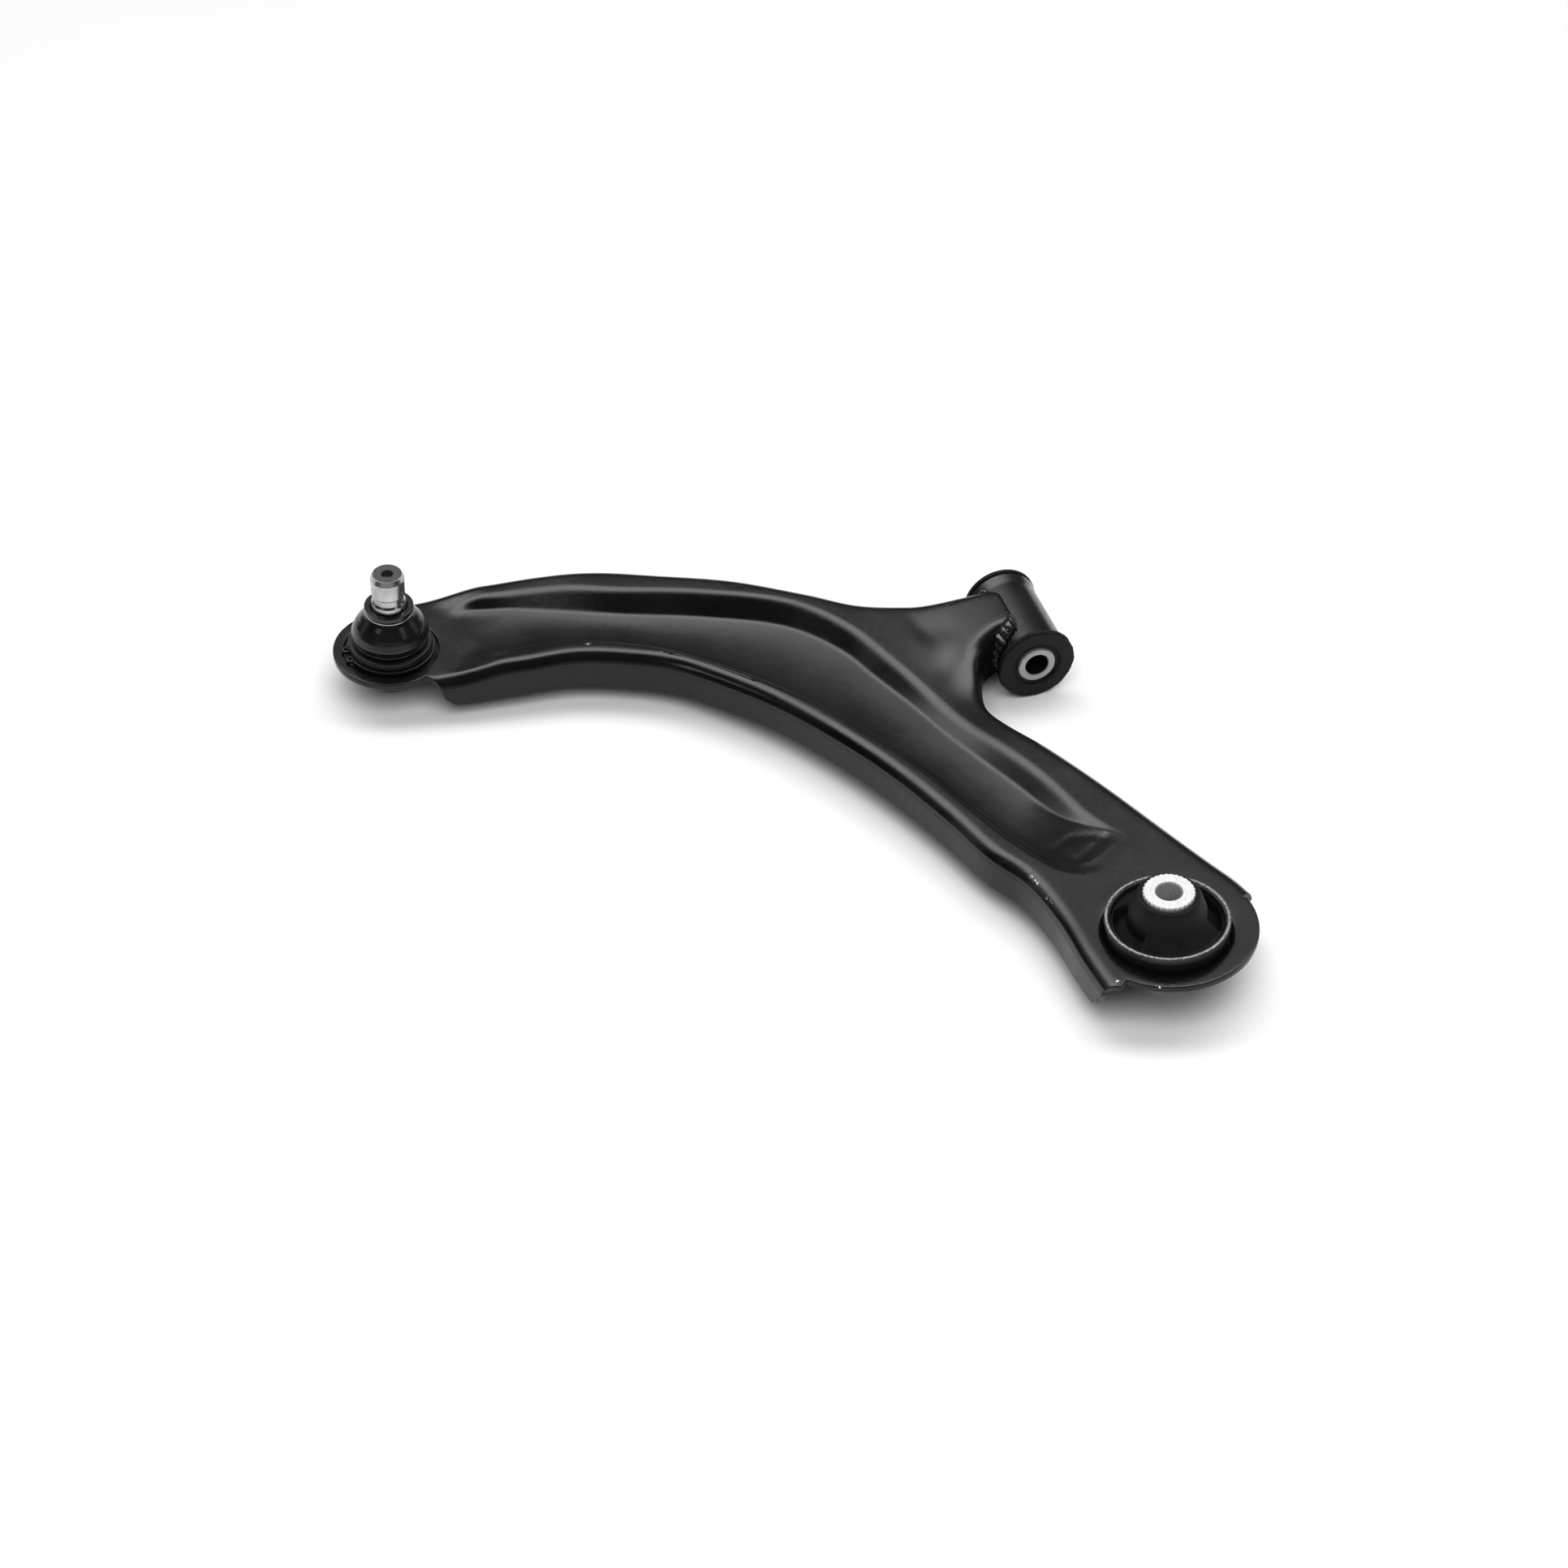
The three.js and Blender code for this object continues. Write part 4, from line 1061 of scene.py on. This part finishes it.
turned_piece("joint_cup", [
    (8.6, 1.4, 0.2), (9.3, 1.4, 0.3), (17, 8.6, 2.0), (21, 12.5, 1.5), (21, 17, 0.5),
    (26.5, 17, 0.6), (26.5, 20.1, 0.5), (23.6, 20.1), (23.6, 21.6, 0.6), (22, 21.6, 0.3),
    (22, 24.1, 0.2), (20.3, 24.1, 0.2), (20.3, 26.5, 0.2), (22, 26.5, 0.3), (22, 30.4, 0.9),
    (16.2, 30.4, 0.3), (16.2, 33.5, 0.3), (14, 33.5, 0.4), (11.4, 27.2, 0.3), (11.4, 26.9),
    (14.5, 26.9), (14.5, 9.4), (8.6, 3.9, 0.3),
], RECESS, "arm", ("ball_joint_housing",))

turned_piece("joint_cap", [
    (0, 0.9), (3.2, 0.9, 0.6), (4.6, 0, 0.8), (7.6, 0, 0.5), (8.3, 0.9, 0.5), (8.3, 3.6, 0.3), (0, 3.6),
], COAT_PLAIN, "arm", ("ball_joint_cap",))


def circlip():
    """Snap ring with an eyed ear at each end, open towards -X."""
    bottom, top, inner, outer = 24.4, 26.2, 20.7, 23.4
    ear_hole, ear_radius, ear_angles = 1.1, 2.5, (170, 190)
    profile = rounded(bar(inner, outer, bottom, top, 0.4, 0.4))
    count, n = 140, len(profile)
    start, end = math.radians(190), math.radians(530)
    points = []
    for k in range(count):
        turn = start + (end - start) * k / (count - 1)
        points += [(r * math.cos(turn), r * math.sin(turn), z) for r, z in profile]
    faces = tube_faces(count, n) + [tuple(range(n)), tuple(reversed(range((count - 1) * n, count * n)))]
    ear = rounded(bar(ear_hole, ear_radius, bottom, top, 0.25, 0.4))
    for turn in map(math.radians, ear_angles):
        ear_points, ear_faces = lathe(ear, 40)
        base = len(points)
        points += (ear_points + [outer * math.cos(turn), outer * math.sin(turn), 0]).tolist()
        faces += [tuple(base + c for c in face) for face in ear_faces]
    make_piece("circlip", np.array(points), faces, SPRING_STEEL, "arm",
               ("ball_joint_circlip",))


def stud():
    """The ball and its machined shank in one turned body; its recessed end is dark."""
    arc = [(BALL_RADIUS * math.cos(turn), BALL_Z + BALL_RADIUS * math.sin(turn))
           for turn in map(math.radians, np.linspace(-90, NECK_ANGLE, 40))]
    arc[0] = (0, BALL_Z - BALL_RADIUS)
    shank = [
        (6.3, 46, 3.0), (9.4, 53.6, 0.5), (9.0, 56.3, 0.6), (8.0, 57.4, 0.6), (8.0, 60.6, 0.4),
        (8.1, 61.2, 0.2), (9.0, 61.9, 0.3), (9.0, 71.3, 0.3), (7.7, STUD_TOP, 0.25),
        (3.1, STUD_TOP, 0.25), (2.8, STUD_TOP - 3.4, 0.3), (0, STUD_TOP - 4.2),
    ]
    points, faces = lathe(rounded(arc + shank, closed=False))
    centre = np.array([points[list(f)].mean(axis=0) for f in faces])
    face = (centre[:, 2] > STUD_TOP - 4.3) & (np.hypot(centre[:, 0], centre[:, 1]) < 7.4)
    make_piece("stud", points, faces, [STUD_STEEL, STUD_FACE], "stud", ("ball_stud",),
               face_slots=face.astype(int))


circlip()
stud()

# The boot is parted at a straight stretch of its wall, so that the two halves meet smoothly.
BOOT_SEAM_OUT, BOOT_SEAM_IN = (18.4, 41.15), (16.275, 40.125)
BOOT_LOW = [
    BOOT_SEAM_IN, (16.65, 39.5, 6.0), (18, 36.6, 1.0), (17.2, 34.2, 0.6), (16.5, 33.9, 0.2),
    (16.5, 30.8, 0.3), (18.6, 30.8, 0.4), (18.9, 33.2, 0.4), (19.5, 34.2, 0.8), (20.4, 36.4, 1.6),
    (19.0, 40.1, 6.0), BOOT_SEAM_OUT,
]
BOOT_HIGH = [
    BOOT_SEAM_OUT, (17.8, 42.2, 6.0), (15.2, 45.4, 2.0), (13.4, 47.3, 0.6), (12.3, 48.9, 0.4),
    (12.3, 50.6, 0.3), (12.9, 50.9, 0.3), (12.9, 53.3, 0.5), (9.9, 53.3, 0.3), (7.7, 48, 0.6),
    (12.6, 45.2, 1.5), (15.9, 40.75, 6.0), BOOT_SEAM_IN,
]
boot_low = turned_piece("boot_low", BOOT_LOW, BOOT_RUBBER, None, ("dust_boot",))
boot_high = turned_piece("boot_high", BOOT_HIGH, BOOT_RUBBER, None, ())
turned_piece("boot_ring_low", bar(18.4, 19.3, 31.4, 32.6, 0.4, 0.45), SPRING_STEEL,
             "arm", ("boot_lower_ring",))
turned_piece("boot_ring_top", bar(12.1, 12.9, 49.2, 50.2, 0.3, 0.4), RING_STEEL,
             "boot_ring", ("boot_upper_ring",))


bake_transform(boot_low)
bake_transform(boot_high)

# CAD nodes that are kept as they are and only given a look.
KEPT_NODES = {"front_bush_outer_sleeve": COAT_PLAIN, "eye_weld_under": WELD,
              "ball_seat_upper": SEAT_PLASTIC, "ball_seat_lower": SEAT_PLASTIC}
for node, material in KEPT_NODES.items():
    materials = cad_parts[node].data.materials
    materials.clear()
    materials.append(material)


# ---- Floor, lights and camera ----

CAMERA_PLACE = (-0.7619, -2.20367, 2.0696)
CAMERA_AZIMUTH, CAMERA_ELEVATION, LENS, SENSOR = -19.0, 41.2, 139.75, 36
FLOOR_SIZE = 6.0
# Brightness by angle: 0 is the horizon behind the part, 90 overhead, 180 the front horizon.
SKY = [(0, 0.08), (180, 0.5), (25, 0.14), (39, 0.30), (44, 0.75), (51, 2.3), (59, 3.9), (73, 3.9),
       (80, 1.0), (88, 0.04), (145, 0.03), (163, 0.3)]
SKY_PEAK = 3.9
SKY_ENDS = {"From Min": 0.5, "From Max": 0.85, "To Min": SKY_PEAK, "To Max": 0.6}  # dimmer sides
# Softboxes: degrees to the right of the camera, elevation, distance, size, power, seen in gloss.
LIGHTS = {
    "front_fill": (10, 60, 2.6, (2.4, 1.8), 44, False),
    "left_glint": (-60, 45, 1.5, (0.35, 0.35), 0.7, True),
    "right_glint": (55, 45, 1.5, (0.3, 0.3), 0.5, True),
}


def direction(azimuth, elevation):
    """Unit vector towards a place; azimuth 0 is behind a viewer who looks along +Y."""
    a, e = math.radians(azimuth), math.radians(elevation)
    return Vector((math.sin(a) * math.cos(e), -math.cos(a) * math.cos(e), math.sin(e)))


def floor():
    g = Graph("paper", (0.8, 0.8, 0.8), 0.9)
    paper = g.driven(Base_Color=g.mix(g.noise(6, 2.0), (0.90, 0.90, 0.90), (0.93, 0.93, 0.93)))
    mesh = bpy.data.meshes.new("floor")
    corners = [(FLOOR_SIZE * x, FLOOR_SIZE * y, 0) for x, y in ((-1, -1), (1, -1), (1, 1), (-1, 1))]
    mesh.from_pydata(corners, [], [(0, 1, 2, 3)])
    mesh.materials.append(paper)
    plane = add_object("floor", mesh)


def area_light(name, azimuth, elevation, distance, size, power, glossy):
    """A softbox facing the part."""
    light = bpy.data.lights.new(name, "AREA")
    light.shape = "RECTANGLE"
    light.size, light.size_y = size
    light.energy = power
    item = add_object(name, light)
    item.location = distance * direction(CAMERA_AZIMUTH + azimuth, elevation)
    item.rotation_euler = (-item.location).to_track_quat("-Z", "Y").to_euler()
    item.visible_glossy = glossy


def sky():
    """Light over the table by angle from the horizon behind the part, over the top, to the front."""
    world = bpy.data.worlds.new("studio")
    world.use_nodes = True
    tree = world.node_tree
    add = partial(add_node, tree)
    azimuth = math.radians(CAMERA_AZIMUTH)
    place = add("ShaderNodeTexCoord").outputs["Generated"]
    up = add("ShaderNodeSeparateXYZ", {0: place}).outputs["Z"]
    away, sideways = (
        add("ShaderNodeVectorMath", {0: place, 1: axis}, operation="DOT_PRODUCT").outputs["Value"]
        for axis in ((-math.sin(azimuth), math.cos(azimuth), 0),
                     (math.cos(azimuth), math.sin(azimuth), 0))
    )
    angle = add("ShaderNodeMath", {0: up, 1: away}, operation="ARCTAN2").outputs[0]
    share = add("ShaderNodeMath", {0: angle, 1: math.pi}, operation="DIVIDE").outputs[0]
    ramp = add("ShaderNodeValToRGB", {"Fac": share})
    width = add("ShaderNodeMath", {0: sideways}, operation="ABSOLUTE").outputs[0]
    ends = add("ShaderNodeMapRange", {"Value": width, **SKY_ENDS}, interpolation_type="SMOOTHSTEP")
    tree.links.new(ramp.outputs["Color"], tree.nodes["Background"].inputs["Color"])
    tree.links.new(ends.outputs["Result"], tree.nodes["Background"].inputs["Strength"])
    elements = ramp.color_ramp.elements
    for index, (degrees, level) in enumerate(SKY):
        element = elements[index] if index < 2 else elements.new(degrees / 180)
        element.position = degrees / 180
        element.color = (level / SKY_PEAK,) * 3 + (1,)
    bpy.context.scene.world = world


def camera():
    data = bpy.data.cameras.new("camera")
    data.lens, data.sensor_width = LENS, SENSOR
    item = add_object("camera", data)
    item.location = CAMERA_PLACE
    item.rotation_euler = direction(CAMERA_AZIMUTH, CAMERA_ELEVATION).to_track_quat("Z", "Y").to_euler()
    bpy.context.scene.camera = item


floor()
sky()
for light_name, light_values in LIGHTS.items():
    area_light(light_name, *light_values)
camera()
bpy.context.scene.view_settings.view_transform = "Standard"
